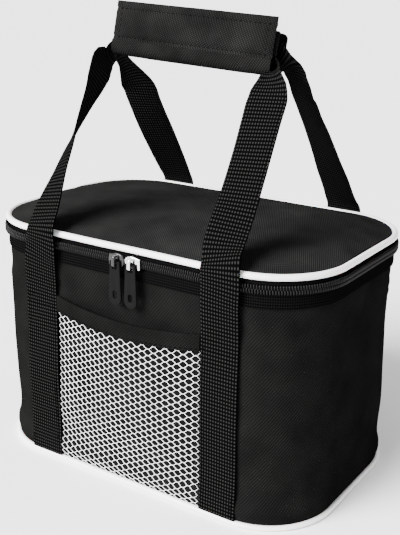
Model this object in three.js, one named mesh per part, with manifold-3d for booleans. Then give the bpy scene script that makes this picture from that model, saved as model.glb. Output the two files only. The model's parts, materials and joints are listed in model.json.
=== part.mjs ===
// Insulated lunch bag: a foam-lined fabric box with a zipped lid, a mesh pocket on the front
// and two webbing handles that a fabric wrap holds together.
// Millimetres, +Z up, front towards -Y. The origin is the middle of the underside.
import * as THREE from 'three';
import { mergeVertices } from 'three/addons/utils/BufferGeometryUtils.js';
import Module from 'manifold-3d';

const wasm = await Module();
wasm.setup();

// Body
const BAG_WIDTH = 236; // over the outer wall
const BAG_DEPTH = 150;
const BAG_CORNER_RADIUS = 44;
const BAG_HEIGHT = 143; // floor to the top edge of the outer wall
const FABRIC = 1; // thickness of the coated outer fabric
const FOAM = 4.5;
const LINER = 0.6;
const LAYER_GAP = 0.3; // clearance between pieces that are sewn or laid together
const PIPING_DIAMETER = 5;
const BASE_PIPING_OUTSET = 0.5; // centre of the piping outside the wall's face
const LID_PIPING_OUTSET = 0.7;
const BINDING = 1; // thickness of the binding tape inside the mouth
const BINDING_DEPTH = 12; // how far it reaches down the liner

// Zip
const ZIP_TAPE = 0.8;
const ZIP_TAPE_OVERLAP = 4.5; // lower tape sewn over the wall's top edge
const ZIP_REVEAL = 1.25; // slider's lower edge above the mouth binding
const COIL_HEIGHT = 2.3; // one half of the chain
const COIL_THICKNESS = 2;
const COIL_GROOVE = 0.8; // depth between two turns of the coil
const COIL_PITCH = 5.5; // drawn coarser than the real coil
const ZIP_PARTING = 0.9; // gap between the two halves, where the slider's post runs
const HINGE_STRIP_LENGTH = 146;

// Sliders and pulls
const SLIDER_LENGTH = 11;
const SLIDER_PLATE = 1.2;
const SLIDER_FLANGE = 1.1;
const SLIDER_TAPER = 0.9; // how much each edge draws in towards the tail
const SLIDER_POST_LENGTH = 2.4;
const SLIDER_POST_GAP = 0.2; // post to each half of the chain
const SLIDER_HEADROOM = 0.35; // slider's upper edge to the lid's seam
const SLIDER_PAIR_X = 2.5; // where the two sliders meet
const BRIDGE_WIDTH = 2.2;
const BRIDGE_BAND = 1.1;
const BRIDGE_OPENING = 2.4; // room for the pull's bar, outwards
const PULL_THICKNESS = 1.4;
const PULL_BAR = 1.4;
const PULL_EYE_DEPTH = 3.7;
const PULL_EYE_CLEARANCE = 0.6; // eye to the bridge, each side
const PULL_NECK_WIDTH = 7;
const PULL_END_WIDTH = 9;
const PULL_LENGTH = 26.5; // bar to tip
const PULL_SLOT_WIDTH = 3;
const PULL_SLOT_LENGTH = 5;
const PULL_SLOT_FROM_TIP = 4;

// Lid
const LID_CROWN = 5; // rise of the soft panel at its middle
const LID_FOAM_INSET = 4; // foam and liner stop short of the seam
const CROWN_RINGS = [0.3, 0.62, 0.86, 1]; // shares of the outline, middle to edge

// Handles
const WEBBING_WIDTH = 25;
const WEBBING = 1.6;
const STRAP_SPACING = 133; // between the centres of the left and right straps
const STRAP_FREE_BELOW_TOP = 23; // the straps leave the wall this far below its top edge
const LEG_RIM_GAP = 0.5; // webbing to the lid's rim
const LEG_DRIFT = { front_left: 5, front_right: 1.5, rear_left: -2, rear_right: 0 }; // sideways, at the rim
const LEG_SLACK = 1.5; // outward bow of the free webbing
const LEG_RIM_TURN = 0.2; // share of a leg's lower half in which it turns over the rim
const LEG_PINCH_WIDTH = 9; // gathered width where a leg turns into the wrap
const LEG_BEND_RADIUS = 8;
const LEG_LEAN = 6; // outward lean of a leg over the height of the bend
const LEG_TWIST = -Math.PI; // half turn in the front left leg
const TWIST_FROM = 0.25; // share of a leg's length
const PINCH_FROM = 0.75;
const HAND_ROOM = 98; // lid piping to the underside of the wrap

// Wrap round the two handles
const WRAP_LENGTH = 115;
const WRAP_FABRIC = 1.4;
const WRAP_CORNER = 5;
const WRAP_ROOM = 2.4; // webbing to the cover, above and below
const WRAP_LIP_HEIGHT = 22; // front edge of the cover under the flap
const FLAP_FOLD_HEIGHT = 9; // rolled front edge of the cover, to which the flap is sewn
const WRAP_TILT = THREE.MathUtils.degToRad(2.6); // left end hangs higher
const WRAP_LEAN = THREE.MathUtils.degToRad(11.6); // lower edge hangs forward
const WRAP_X = -2.6; // the wrap has slid a little to the left
const WRAP_Y = -4.5; // and hangs towards the front
const GRIP_GAP = 0.6; // webbing to the cover, front and rear
const GRIP_SPACING = 4.5; // between the two webbings
const HOOK_TAPE = 1;
const HOOK_TAPE_WIDTH = 16;
const HOOK_TAPE_FROM_TOP = 4;
const HOOK_TAPE_END_INSET = 6;

// Mesh pocket
const POCKET_BELOW_TOP = 27; // pocket's top edge at the straps, below the wall's
const POCKET_SAG = 3.5;
const POCKET_BOW = 8; // how far the pocket stands off the wall at its middle
const POCKET_BOW_HEIGHT = 45; // height over which the bow builds up
const POCKET_BAND = 1.8;
const POCKET_BAND_HEIGHT = 10.5;
const NET_COLUMNS = 18; // half cells
const NET_ROWS = 22;
const NET_CORD = 1.5; // width of a strand
const NET_THICKNESS = 1;

// Steps along curves
const ARC_STEPS = 8;
const PIPING_SIDES = 8;
const LEG_STEPS = 30;
const BAND_STEPS = 14;
const CURVE_SEGMENTS = 6;

// Heights and offsets that follow from the sizes above
const SLIDER_HEIGHT = 2 * (ZIP_PARTING / 2 + COIL_HEIGHT + LAYER_GAP + SLIDER_FLANGE);
const MOUTH_TOP = BAG_HEIGHT + LAYER_GAP + BINDING;
const ZIP_Z = MOUTH_TOP + ZIP_REVEAL + SLIDER_HEIGHT / 2;
const LID_SEAM_Z = ZIP_Z + SLIDER_HEIGHT / 2 + SLIDER_HEADROOM;
const LID_PIPING_Z = LID_SEAM_Z + PIPING_DIAMETER / 2;
const TAPE_IN = LAYER_GAP;
const TAPE_OUT = TAPE_IN + ZIP_TAPE;
const COIL_IN = TAPE_OUT + LAYER_GAP;
const COIL_OUT = COIL_IN + COIL_THICKNESS;
const RIM_OVERHANG = Math.max(LID_PIPING_OUTSET + PIPING_DIAMETER / 2, COIL_OUT);
const WALL_BOTTOM = PIPING_DIAMETER + LAYER_GAP;
const STRAP_X = STRAP_SPACING / 2;
const STRAP_TOP = BAG_HEIGHT - STRAP_FREE_BELOW_TOP;
const POCKET_HALF = STRAP_X - WEBBING_WIDTH / 2 - LAYER_GAP;
const POCKET_TOP = BAG_HEIGHT - POCKET_BELOW_TOP;
const FRONT = -1;
const REAR = 1;
const LEFT = -1;
const RIGHT = 1;

const bag = new THREE.Group();

// Materials
function finish(color, roughness, metalness = 0) {
  return new THREE.MeshStandardMaterial({ color, roughness, metalness });
}
const blackPolyester = finish(0x232325, 0.75);
const blackWebbing = finish(0x1c1c1d, 0.8);
const blackTape = finish(0x19191a, 0.85);
const nylonCoil = finish(0x202021, 0.45);
const whitePiping = finish(0xf2f2f0, 0.5);
const whiteMesh = finish(0xf0f1f1, 0.6);
const greyFoam = finish(0xd9d9d6, 0.9);
const foil = finish(0xc4c7c9, 0.3, 0.8);
const chrome = finish(0xd8d9da, 0.15, 1);
const blackEnamel = finish(0x1d1d1e, 0.35, 0.4);
const moulding = finish(0x202021, 0.5);

function addPiece(name, geometry, material, parent = bag) {
  const piece = new THREE.Mesh(geometry, material);
  piece.name = name;
  parent.add(piece);
  return piece;
}

// Geometry from shared points and triangles, turned round if its faces point inwards
function solidOf(points, triangles) {
  const corner = (i) => points[triangles[i]];
  let volume = 0;
  for (let i = 0; i < triangles.length; i += 3) {
    volume += corner(i).dot(new THREE.Vector3().crossVectors(corner(i + 1), corner(i + 2)));
  }
  const geometry = new THREE.BufferGeometry().setFromPoints(points);
  geometry.setIndex(volume < 0 ? triangles.toReversed() : triangles);
  geometry.computeVertexNormals();
  return geometry;
}

// Skin over a row of matching convex sections, with flat ends unless it closes on itself
function loft(sections, closed = false) {
  const count = sections[0].length;
  const rows = closed ? sections.length : sections.length - 1;
  const triangles = [];
  for (let row = 0; row < rows; row++) {
    const near = row * count;
    const far = ((row + 1) % sections.length) * count;
    for (let i = 0; i < count; i++) {
      const next = (i + 1) % count;
      triangles.push(near + i, far + i, near + next, near + next, far + i, far + next);
    }
  }
  if (!closed) {
    const last = rows * count;
    for (let i = 1; i < count - 1; i++) {
      triangles.push(0, i, i + 1, last, last + i + 1, last + i);
    }
  }
  return solidOf(sections.flat(), triangles);
}

// Outline of the outer wall from the rear's left end, round the front, to the rear's right end
function bagOutline() {
  const halfX = BAG_WIDTH / 2 - BAG_CORNER_RADIUS;
  const halfY = BAG_DEPTH / 2 - BAG_CORNER_RADIUS;
  const quarter = Math.PI / 2;
  const corners = [[-halfX, halfY], [-halfX, -halfY], [halfX, -halfY], [halfX, halfY]];
  const outline = new THREE.Path();
  corners.forEach(([x, y], i) => {
    outline.absarc(x, y, BAG_CORNER_RADIUS, quarter * (i + 1), quarter * (i + 2));
  });
  return outline;
}

// Points round the corners with their outward directions; straight runs lie between them
function cornerStations() {
  const arcs = bagOutline().curves.filter((curve) => curve.isEllipseCurve);
  return arcs.flatMap((arc) => Array.from({ length: ARC_STEPS + 1 }, (_, i) => {
    const point = arc.getPoint(i / ARC_STEPS);
    const outward = new THREE.Vector2(point.x - arc.aX, point.y - arc.aY).normalize();
    return { point, outward };
  }));
}

// Section at a station, from [distance outside the wall's face, height] pairs
function sectionAt({ point, outward }, profile) {
  return profile.map(([out, z]) => {
    return new THREE.Vector3(point.x + outward.x * out, point.y + outward.y * out, z);
  });
}

function rectangle(inner, outer, bottom, top) {
  return [[inner, bottom], [outer, bottom], [outer, top], [inner, top]];
}

function ring(profile) {
  return loft(cornerStations().map((station) => sectionAt(station, profile)), true);
}

// Strip along the zip's route: both sides, the front and the four corners
function zipStrip(profile) {
  return loft(cornerStations().map((station) => sectionAt(station, profile)));
}

function flatPanel(outset, bottom, top) {
  const level = (z) => cornerStations().flatMap((station) => sectionAt(station, [[outset, z]]));
  return loft([level(bottom), level(top)]);
}

function piping(outset, z) {
  const radius = PIPING_DIAMETER / 2;
  const circle = Array.from({ length: PIPING_SIDES }, (_, i) => {
    const angle = (2 * Math.PI * (i + 0.5)) / PIPING_SIDES;
    return [outset + radius * Math.cos(angle), z + radius * Math.sin(angle)];
  });
  return ring(circle);
}

function boxBetween(low, high) {
  const size = high.map((value, i) => value - low[i]);
  const middle = high.map((value, i) => (value + low[i]) / 2);
  return new THREE.BoxGeometry(...size).translate(...middle);
}

// Front-to-rear place of a face that lies a distance outside the front or rear wall
function outside(side, distance) {
  return side * (BAG_DEPTH / 2 + distance);
}

// Joins closed solids into one
function joined(geometries) {
  const solids = geometries.map((source) => {
    const bare = source.index ? source.toNonIndexed() : source.clone();
    bare.deleteAttribute('normal');
    bare.deleteAttribute('uv');
    const merged = mergeVertices(bare);
    return new wasm.Manifold(new wasm.Mesh({
      numProp: 3,
      vertProperties: new Float32Array(merged.attributes.position.array),
      triVerts: new Uint32Array(merged.index.array),
    }));
  });
  const mesh = solids.reduce((whole, solid) => whole.add(solid)).getMesh();
  const geometry = new THREE.BufferGeometry();
  geometry.setAttribute('position', new THREE.BufferAttribute(mesh.vertProperties, 3));
  geometry.setIndex(new THREE.BufferAttribute(mesh.triVerts, 1));
  geometry.computeVertexNormals();
  return geometry;
}

// Body: fabric, foam and liner, from the outside in
function addBody() {
  const fabricIn = -FABRIC;
  const foamOut = fabricIn - LAYER_GAP;
  const foamIn = foamOut - FOAM;
  const linerOut = foamIn - LAYER_GAP;
  const linerIn = linerOut - LINER;
  const pipingIn = BASE_PIPING_OUTSET - PIPING_DIAMETER / 2 - LAYER_GAP;
  const baseFoamBottom = FABRIC + LAYER_GAP;
  const baseFoamTop = baseFoamBottom + FOAM;
  const foamBottom = baseFoamTop + LAYER_GAP;
  const innerTop = BAG_HEIGHT - LAYER_GAP;

  addPiece('outer_wall', ring(rectangle(fabricIn, 0, WALL_BOTTOM, BAG_HEIGHT)), blackPolyester);
  addPiece('base_panel', flatPanel(pipingIn, 0, FABRIC), blackPolyester);
  addPiece('base_piping', piping(BASE_PIPING_OUTSET, PIPING_DIAMETER / 2), whitePiping);
  addPiece('base_foam', flatPanel(pipingIn, baseFoamBottom, baseFoamTop), greyFoam);
  addPiece('wall_foam', ring(rectangle(foamIn, foamOut, foamBottom, innerTop)), greyFoam);
  addPiece('foil_liner', linerCup(linerIn, linerOut, foamBottom, innerTop), foil);

  const bindingOut = linerIn - LAYER_GAP;
  const bindingIn = bindingOut - BINDING;
  const capBottom = BAG_HEIGHT + LAYER_GAP;
  const binding = [[bindingIn, MOUTH_TOP - BINDING_DEPTH], [bindingOut, MOUTH_TOP - BINDING_DEPTH],
    [bindingOut, capBottom], [0, capBottom], [0, MOUTH_TOP], [bindingIn, MOUTH_TOP]];
  addPiece('mouth_binding', ring(binding), blackTape);
}

// Seamless cup: down the outside, across the floor, and up again inside
function linerCup(inner, outer, bottom, top) {
  const level = (out, z) => cornerStations().flatMap((station) => sectionAt(station, [[out, z]]));
  const floor = bottom + LINER;
  return loft([level(outer, bottom), level(outer, top), level(inner, top), level(inner, floor)]);
}

// Coil half: grooves cut across the strip's outer face at every half pitch
function coil(bottom, top, phase) {
  const route = bagOutline();
  const count = 2 * Math.round(route.getLength() / COIL_PITCH);
  const sections = Array.from({ length: count + 1 }, (_, i) => {
    const point = route.getPoint(i / count);
    const along = route.getTangent(i / count);
    const station = { point, outward: new THREE.Vector2(along.y, -along.x) };
    const out = (i + phase) % 2 ? COIL_OUT : COIL_OUT - COIL_GROOVE;
    return sectionAt(station, rectangle(COIL_IN, out, bottom, top));
  });
  return loft(sections);
}

function addZip() {
  const half = ZIP_PARTING / 2;
  const lowerTape = rectangle(TAPE_IN, TAPE_OUT, BAG_HEIGHT - ZIP_TAPE_OVERLAP, ZIP_Z - half);
  addPiece('zip_tape_lower', zipStrip(lowerTape), blackTape);
  addPiece('zip_coil_lower', coil(ZIP_Z - half - COIL_HEIGHT, ZIP_Z - half, 0), nylonCoil);
  const upperTape = rectangle(TAPE_IN, TAPE_OUT, ZIP_Z + half, LID_SEAM_Z - LAYER_GAP);
  addPiece('zip_tape_upper', zipStrip(upperTape), blackTape);
  addPiece('zip_coil_upper', coil(ZIP_Z + half, ZIP_Z + half + COIL_HEIGHT, 1), nylonCoil);

  const strip = boxBetween(
    [-HINGE_STRIP_LENGTH / 2, outside(REAR, TAPE_IN), BAG_HEIGHT - ZIP_TAPE_OVERLAP],
    [HINGE_STRIP_LENGTH / 2, outside(REAR, TAPE_OUT), LID_SEAM_Z - LAYER_GAP],
  );
  addPiece('lid_hinge_strip', strip, blackPolyester);
}

// Soft panel that rises from its edge to its middle
function crownedPanel(inset, underside, thickness) {
  const level = (share, z) => cornerStations().map(({ point, outward }) => {
    const edge = point.clone().addScaledVector(outward, -inset).multiplyScalar(share);
    return new THREE.Vector3(edge.x, edge.y, z + LID_CROWN * (1 - share ** 2));
  });
  const lower = CROWN_RINGS.map((share) => level(share, underside));
  const upper = CROWN_RINGS.map((share) => level(share, underside + thickness));
  return loft([...lower, ...upper.toReversed()]);
}

function addLid() {
  const coverInset = PIPING_DIAMETER / 2 - LID_PIPING_OUTSET + LAYER_GAP;
  const foamZ = LID_PIPING_Z - LAYER_GAP - FOAM;
  const linerZ = foamZ - LAYER_GAP - LINER;
  addPiece('lid_cover', crownedPanel(coverInset, LID_PIPING_Z, FABRIC), blackPolyester);
  addPiece('lid_foam', crownedPanel(LID_FOAM_INSET, foamZ, FOAM), greyFoam);
  addPiece('lid_liner', crownedPanel(LID_FOAM_INSET, linerZ, LINER), foil);
  addPiece('lid_piping', piping(LID_PIPING_OUTSET, LID_PIPING_Z), whitePiping);
  const bindingIn = LAYER_GAP - LID_FOAM_INSET;
  const bindingTop = LID_PIPING_Z - LAYER_GAP;
  const binding = rectangle(bindingIn, -coverInset, foamZ, bindingTop);
  addPiece('lid_binding', ring(binding), blackTape);
}

// Plate cut from an outline drawn in width and height, standing a distance off the front wall
function frontPlate(shape, distance, thickness) {
  const across = new THREE.Vector3(1, 0, 0);
  const up = new THREE.Vector3(0, 0, 1);
  const forward = new THREE.Vector3(0, -1, 0);
  const options = { depth: thickness, bevelEnabled: false, curveSegments: CURVE_SEGMENTS };
  const plate = new THREE.ExtrudeGeometry(shape, options);
  plate.applyMatrix4(new THREE.Matrix4().makeBasis(across, up, forward));
  return plate.translate(0, outside(FRONT, distance), 0);
}

// Slider: two plates on either side of the chain, joined by the post that parts it, with a
// flange below the lower coil and a bridge for the pull. It has no upper flange, so that the
// lid's half of the chain lifts out. nose is the side of the post.
function slider(x, nose) {
  const halfLength = SLIDER_LENGTH / 2;
  const halfHeight = SLIDER_HEIGHT / 2;
  const outline = new THREE.Shape();
  outline.moveTo(x - nose * halfLength, ZIP_Z - halfHeight + SLIDER_TAPER);
  outline.lineTo(x, ZIP_Z - halfHeight);
  outline.quadraticCurveTo(x + nose * halfLength, ZIP_Z - halfHeight, x + nose * halfLength, ZIP_Z);
  outline.quadraticCurveTo(x + nose * halfLength, ZIP_Z + halfHeight, x, ZIP_Z + halfHeight);
  outline.lineTo(x - nose * halfLength, ZIP_Z + halfHeight - SLIDER_TAPER);

  const outerIn = COIL_OUT + LAYER_GAP;
  const outerOut = outerIn + SLIDER_PLATE;
  const innerOut = TAPE_IN - LAYER_GAP;
  const noseX = x + nose * (halfLength - SLIDER_POST_LENGTH);
  const postHalf = ZIP_PARTING / 2 - SLIDER_POST_GAP;
  const halfPost = SLIDER_POST_LENGTH / 2;
  const post = boxBetween(
    [noseX - halfPost, outside(FRONT, outerIn + SLIDER_PLATE / 2), ZIP_Z - postHalf],
    [noseX + halfPost, outside(FRONT, innerOut - SLIDER_PLATE / 2), ZIP_Z + postHalf],
  );
  const flangeTop = ZIP_Z - ZIP_PARTING / 2 - COIL_HEIGHT - LAYER_GAP;
  const flangeEnd = halfLength / 2;
  const flange = boxBetween(
    [x - flangeEnd, outside(FRONT, outerIn + SLIDER_PLATE / 2), flangeTop - SLIDER_FLANGE / 2],
    [x + flangeEnd, outside(FRONT, COIL_IN), flangeTop],
  );
  return joined([
    frontPlate(outline, outerIn, SLIDER_PLATE),
    frontPlate(outline, innerOut - SLIDER_PLATE, SLIDER_PLATE),
    post,
    flange,
    bridge(x, outerOut),
  ]);
}

// Arch that stands on the slider's plate and holds the pull's bar
function bridge(x, plateOut) {
  const half = SLIDER_HEIGHT / 2 - SLIDER_TAPER;
  const openHalf = half - BRIDGE_BAND;
  const root = plateOut - SLIDER_PLATE / 2;
  const openOut = plateOut + BRIDGE_OPENING;
  const crest = openOut + BRIDGE_BAND;
  const arch = new THREE.Shape();
  arch.moveTo(root, -half);
  arch.lineTo(openOut, -half);
  arch.quadraticCurveTo(crest, -half, crest, -openHalf);
  arch.lineTo(crest, openHalf);
  arch.quadraticCurveTo(crest, half, openOut, half);
  arch.lineTo(root, half);
  arch.lineTo(root, openHalf);
  arch.lineTo(openOut, openHalf);
  arch.lineTo(openOut, -openHalf);
  arch.lineTo(root, -openHalf);
  const options = { depth: BRIDGE_WIDTH, bevelEnabled: false, curveSegments: CURVE_SEGMENTS };
  const body = new THREE.ExtrudeGeometry(arch, options);
  const forward = new THREE.Vector3(0, -1, 0);
  const up = new THREE.Vector3(0, 0, 1);
  const left = new THREE.Vector3(-1, 0, 0);
  body.applyMatrix4(new THREE.Matrix4().makeBasis(forward, up, left));
  return body.translate(x + BRIDGE_WIDTH / 2, outside(FRONT, 0), ZIP_Z);
}

// Pull: a bar through the bridge, an eye round it, and a tab that widens to a round tip
function pullTab(x) {
  const barZ = ZIP_Z - SLIDER_HEIGHT / 2 + SLIDER_TAPER + BRIDGE_BAND + PULL_BAR;
  const eyeHalf = BRIDGE_WIDTH / 2 + PULL_EYE_CLEARANCE;
  const top = barZ + PULL_BAR / 2;
  const neckHalf = PULL_NECK_WIDTH / 2;
  const endHalf = PULL_END_WIDTH / 2;
  const tipZ = barZ - PULL_LENGTH;
  const tab = new THREE.Shape();
  tab.moveTo(x - neckHalf, top);
  tab.lineTo(x - endHalf, tipZ + endHalf);
  tab.absarc(x, tipZ + endHalf, endHalf, Math.PI, 2 * Math.PI);
  tab.lineTo(x + neckHalf, top);

  const eyeTop = barZ - PULL_BAR / 2;
  const eye = new THREE.Path();
  eye.moveTo(x - eyeHalf, eyeTop);
  eye.lineTo(x + eyeHalf, eyeTop);
  eye.lineTo(x + eyeHalf, eyeTop - PULL_EYE_DEPTH);
  eye.lineTo(x - eyeHalf, eyeTop - PULL_EYE_DEPTH);
  const slotRadius = PULL_SLOT_WIDTH / 2;
  const slotLow = tipZ + PULL_SLOT_FROM_TIP + slotRadius;
  const slotHigh = slotLow + PULL_SLOT_LENGTH - PULL_SLOT_WIDTH;
  const slot = new THREE.Path();
  slot.absarc(x, slotLow, slotRadius, Math.PI, 2 * Math.PI);
  slot.absarc(x, slotHigh, slotRadius, 0, Math.PI);
  tab.holes.push(eye, slot);
  const plateOut = COIL_OUT + LAYER_GAP + SLIDER_PLATE;
  const middle = plateOut + BRIDGE_OPENING / 2;
  return frontPlate(tab, middle - PULL_THICKNESS / 2, PULL_THICKNESS);
}

function addPulls() {
  const step = (SLIDER_LENGTH + LAYER_GAP) / 2;
  addPiece('slider_left', slider(SLIDER_PAIR_X - step, RIGHT), blackEnamel);
  addPiece('slider_right', slider(SLIDER_PAIR_X + step, LEFT), chrome);
  addPiece('pull_tab_left', pullTab(SLIDER_PAIR_X - step), moulding);
  addPiece('pull_tab_right', pullTab(SLIDER_PAIR_X + step), moulding);
}

// Stacking of the wrap from its front face to its rear, about the middle of its depth
const WRAP_DEPTH = 3 * WRAP_FABRIC + 2 * HOOK_TAPE + 3 * LAYER_GAP
  + 2 * GRIP_GAP + 2 * WEBBING + GRIP_SPACING;
const HOOK_FRONT = WRAP_FABRIC + LAYER_GAP - WRAP_DEPTH / 2;
const LOOP_FRONT = HOOK_FRONT + HOOK_TAPE + LAYER_GAP;
const LIP_FRONT = LOOP_FRONT + HOOK_TAPE + LAYER_GAP;
const FRONT_GRIP_Y = LIP_FRONT + WRAP_FABRIC + GRIP_GAP + WEBBING / 2;
const REAR_GRIP_Y = FRONT_GRIP_Y + WEBBING + GRIP_SPACING;
const WRAP_FLOOR = WRAP_FABRIC + LAYER_GAP; // clear height of the cover's underside
const GRIP_Z = WRAP_FLOOR + WRAP_ROOM + WEBBING_WIDTH / 2;
const WRAP_HEIGHT = GRIP_Z + WEBBING_WIDTH / 2 + WRAP_ROOM + WRAP_FABRIC;

const wrap = new THREE.Group();
wrap.position.set(WRAP_X, WRAP_Y, LID_PIPING_Z + HAND_ROOM);
wrap.rotation.set(-WRAP_LEAN, WRAP_TILT, 0, 'YXZ');
bag.add(wrap);
wrap.updateMatrixWorld();

// Bar along the wrap, from a section drawn in depth and height
function alongWrap(shape, length) {
  const options = { depth: length, bevelEnabled: false, curveSegments: CURVE_SEGMENTS };
  const bar = new THREE.ExtrudeGeometry(shape, options);
  const deep = new THREE.Vector3(0, 1, 0);
  const up = new THREE.Vector3(0, 0, 1);
  const across = new THREE.Vector3(1, 0, 0);
  bar.applyMatrix4(new THREE.Matrix4().makeBasis(deep, up, across));
  return bar.translate(-length / 2, 0, 0);
}

// Cover: a rolled front edge, then under, up the rear, over the top and down inside the flap
function coverSection() {
  const rear = WRAP_DEPTH / 2;
  const front = -rear;
  const inner = WRAP_CORNER - WRAP_FABRIC;
  const lipInside = LIP_FRONT + WRAP_FABRIC;
  const lipBottom = WRAP_HEIGHT - WRAP_LIP_HEIGHT;
  const arcZ = WRAP_HEIGHT - WRAP_CORNER;
  const frontY = front + WRAP_CORNER;
  const rearY = rear - WRAP_CORNER;
  const quarter = Math.PI / 2;
  const section = new THREE.Shape();
  section.moveTo(front, FLAP_FOLD_HEIGHT);
  section.absarc(frontY, WRAP_CORNER, WRAP_CORNER, 2 * quarter, 3 * quarter);
  section.absarc(rearY, WRAP_CORNER, WRAP_CORNER, 3 * quarter, 4 * quarter);
  section.absarc(rearY, arcZ, WRAP_CORNER, 0, quarter);
  section.absarc(LIP_FRONT + WRAP_CORNER, arcZ, WRAP_CORNER, quarter, 2 * quarter);
  section.lineTo(LIP_FRONT, lipBottom);
  section.lineTo(lipInside, lipBottom);
  section.absarc(lipInside + inner, arcZ, inner, 2 * quarter, quarter, true);
  section.absarc(rearY, arcZ, inner, quarter, 0, true);
  section.absarc(rearY, WRAP_CORNER, inner, 4 * quarter, 3 * quarter, true);
  section.absarc(frontY, WRAP_CORNER, inner, 3 * quarter, 2 * quarter, true);
  section.lineTo(front + WRAP_FABRIC, FLAP_FOLD_HEIGHT);
  return section;
}

function addWrap() {
  addPiece('wrap_cover', alongWrap(coverSection(), WRAP_LENGTH), blackPolyester, wrap);
  const flapFront = -WRAP_DEPTH / 2;
  const flap = boxBetween(
    [-WRAP_LENGTH / 2, flapFront, FLAP_FOLD_HEIGHT + LAYER_GAP],
    [WRAP_LENGTH / 2, flapFront + WRAP_FABRIC, WRAP_HEIGHT],
  );
  addPiece('wrap_flap', flap, blackPolyester, wrap);
  const tapeTop = WRAP_HEIGHT - HOOK_TAPE_FROM_TOP;
  const tapeEnd = WRAP_LENGTH / 2 - HOOK_TAPE_END_INSET;
  const tape = (front) => boxBetween(
    [-tapeEnd, front, tapeTop - HOOK_TAPE_WIDTH],
    [tapeEnd, front + HOOK_TAPE, tapeTop],
  );
  addPiece('wrap_hook_tape', tape(HOOK_FRONT), blackTape, wrap);
  addPiece('wrap_loop_tape', tape(LOOP_FRONT), blackTape, wrap);
  const gripEnd = WRAP_LENGTH / 2;
  const grip = (y) => boxBetween(
    [-gripEnd, y - WEBBING / 2, GRIP_Z - WEBBING_WIDTH / 2],
    [gripEnd, y + WEBBING / 2, GRIP_Z + WEBBING_WIDTH / 2],
  );
  addPiece('front_strap_grip', grip(FRONT_GRIP_Y), blackWebbing, wrap);
  addPiece('rear_strap_grip', grip(REAR_GRIP_Y), blackWebbing, wrap);
}

// Route of a leg: off the wall, out over the lid's piping, in to the wrap and round into its end
function legRoute(side, face, drift) {
  const gripY = face === FRONT ? FRONT_GRIP_Y : REAR_GRIP_Y;
  const rimX = side * STRAP_X + drift;
  const rimY = outside(face, RIM_OVERHANG + LEG_RIM_GAP + WEBBING / 2);
  const endX = side * (WRAP_LENGTH / 2 + LAYER_GAP);
  const endZ = WRAP_FLOOR + LEG_PINCH_WIDTH / 2;
  const bendX = endX + side * LEG_BEND_RADIUS;
  const inWrap = (px, py, pz) => wrap.localToWorld(new THREE.Vector3(px, py, pz));
  const bendStart = inWrap(bendX, gripY + face * LEG_LEAN, endZ - LEG_BEND_RADIUS);
  const sewn = outside(face, LAYER_GAP + WEBBING / 2);
  const start = new THREE.Vector3(side * STRAP_X, sewn, STRAP_TOP + LAYER_GAP);
  const atZip = new THREE.Vector3(rimX, rimY, ZIP_Z);
  const upright = new THREE.Vector3(0, 0, (atZip.z - start.z) / 2);
  const overRim = new THREE.Vector3(rimX, rimY, LID_PIPING_Z + PIPING_DIAMETER / 4);
  const middle = overRim.clone().lerp(bendStart, 0.5);
  middle.y += face * LEG_SLACK;
  const route = new THREE.CurvePath();
  const leave = start.clone().add(upright);
  const arrive = atZip.clone().sub(upright);
  route.add(new THREE.CubicBezierCurve3(start, leave, arrive, atZip));
  const turned = overRim.clone().lerp(middle, LEG_RIM_TURN);
  route.add(new THREE.CatmullRomCurve3([atZip, overRim, turned, middle, bendStart]));
  const bendCorner = inWrap(bendX, gripY, endZ);
  route.add(new THREE.QuadraticBezierCurve3(bendStart, bendCorner, inWrap(endX, gripY, endZ)));
  return route;
}

// Free webbing with its face turned to the front, gathered where it meets the wrap
function leg(side, face, drift, twist) {
  const route = legRoute(side, face, drift);
  const sections = Array.from({ length: LEG_STEPS + 1 }, (_, i) => {
    const share = i / LEG_STEPS;
    const middle = route.getPoint(share);
    const along = route.getTangent(share);
    const forward = new THREE.Vector3(0, -1, 0);
    const normal = forward.addScaledVector(along, -forward.dot(along)).normalize();
    normal.applyAxisAngle(along, twist * THREE.MathUtils.smoothstep(share, TWIST_FROM, 1));
    const across = new THREE.Vector3().crossVectors(along, normal);
    const gathered = THREE.MathUtils.smoothstep(share, PINCH_FROM, 1);
    const half = THREE.MathUtils.lerp(WEBBING_WIDTH, LEG_PINCH_WIDTH, gathered) / 2;
    const corners = [[-1, -1], [1, -1], [1, 1], [-1, 1]];
    return corners.map(([w, n]) => middle.clone()
      .addScaledVector(across, w * half)
      .addScaledVector(normal, n * WEBBING / 2));
  });
  return loft(sections);
}

function addStraps() {
  for (const [faceName, face] of [['front', FRONT], ['rear', REAR]]) {
    for (const [sideName, side] of [['left', LEFT], ['right', RIGHT]]) {
      const name = `${faceName}_strap_${sideName}`;
      const near = outside(face, LAYER_GAP);
      const far = outside(face, LAYER_GAP + WEBBING);
      const run = boxBetween(
        [side * STRAP_X - WEBBING_WIDTH / 2, Math.min(near, far), WALL_BOTTOM],
        [side * STRAP_X + WEBBING_WIDTH / 2, Math.max(near, far), STRAP_TOP],
      );
      addPiece(`${name}_run`, run, blackWebbing);
      const twist = face === FRONT && side === LEFT ? LEG_TWIST : 0;
      const drift = LEG_DRIFT[`${faceName}_${sideName}`];
      addPiece(`${name}_leg`, leg(side, face, drift, twist), blackWebbing);
    }
  }
}

// Height of the pocket's top edge, and the face that its mesh lies on
function pocketEdge(x) {
  return POCKET_TOP - POCKET_SAG * (1 - (x / POCKET_HALF) ** 2);
}

function pocketFace(x, z) {
  const rise = THREE.MathUtils.clamp((z - WALL_BOTTOM) / POCKET_BOW_HEIGHT, 0, 1);
  const bow = POCKET_BOW * (1 - (x / POCKET_HALF) ** 2) * Math.sin((rise * Math.PI) / 2);
  return outside(FRONT, LAYER_GAP + bow);
}

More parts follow.
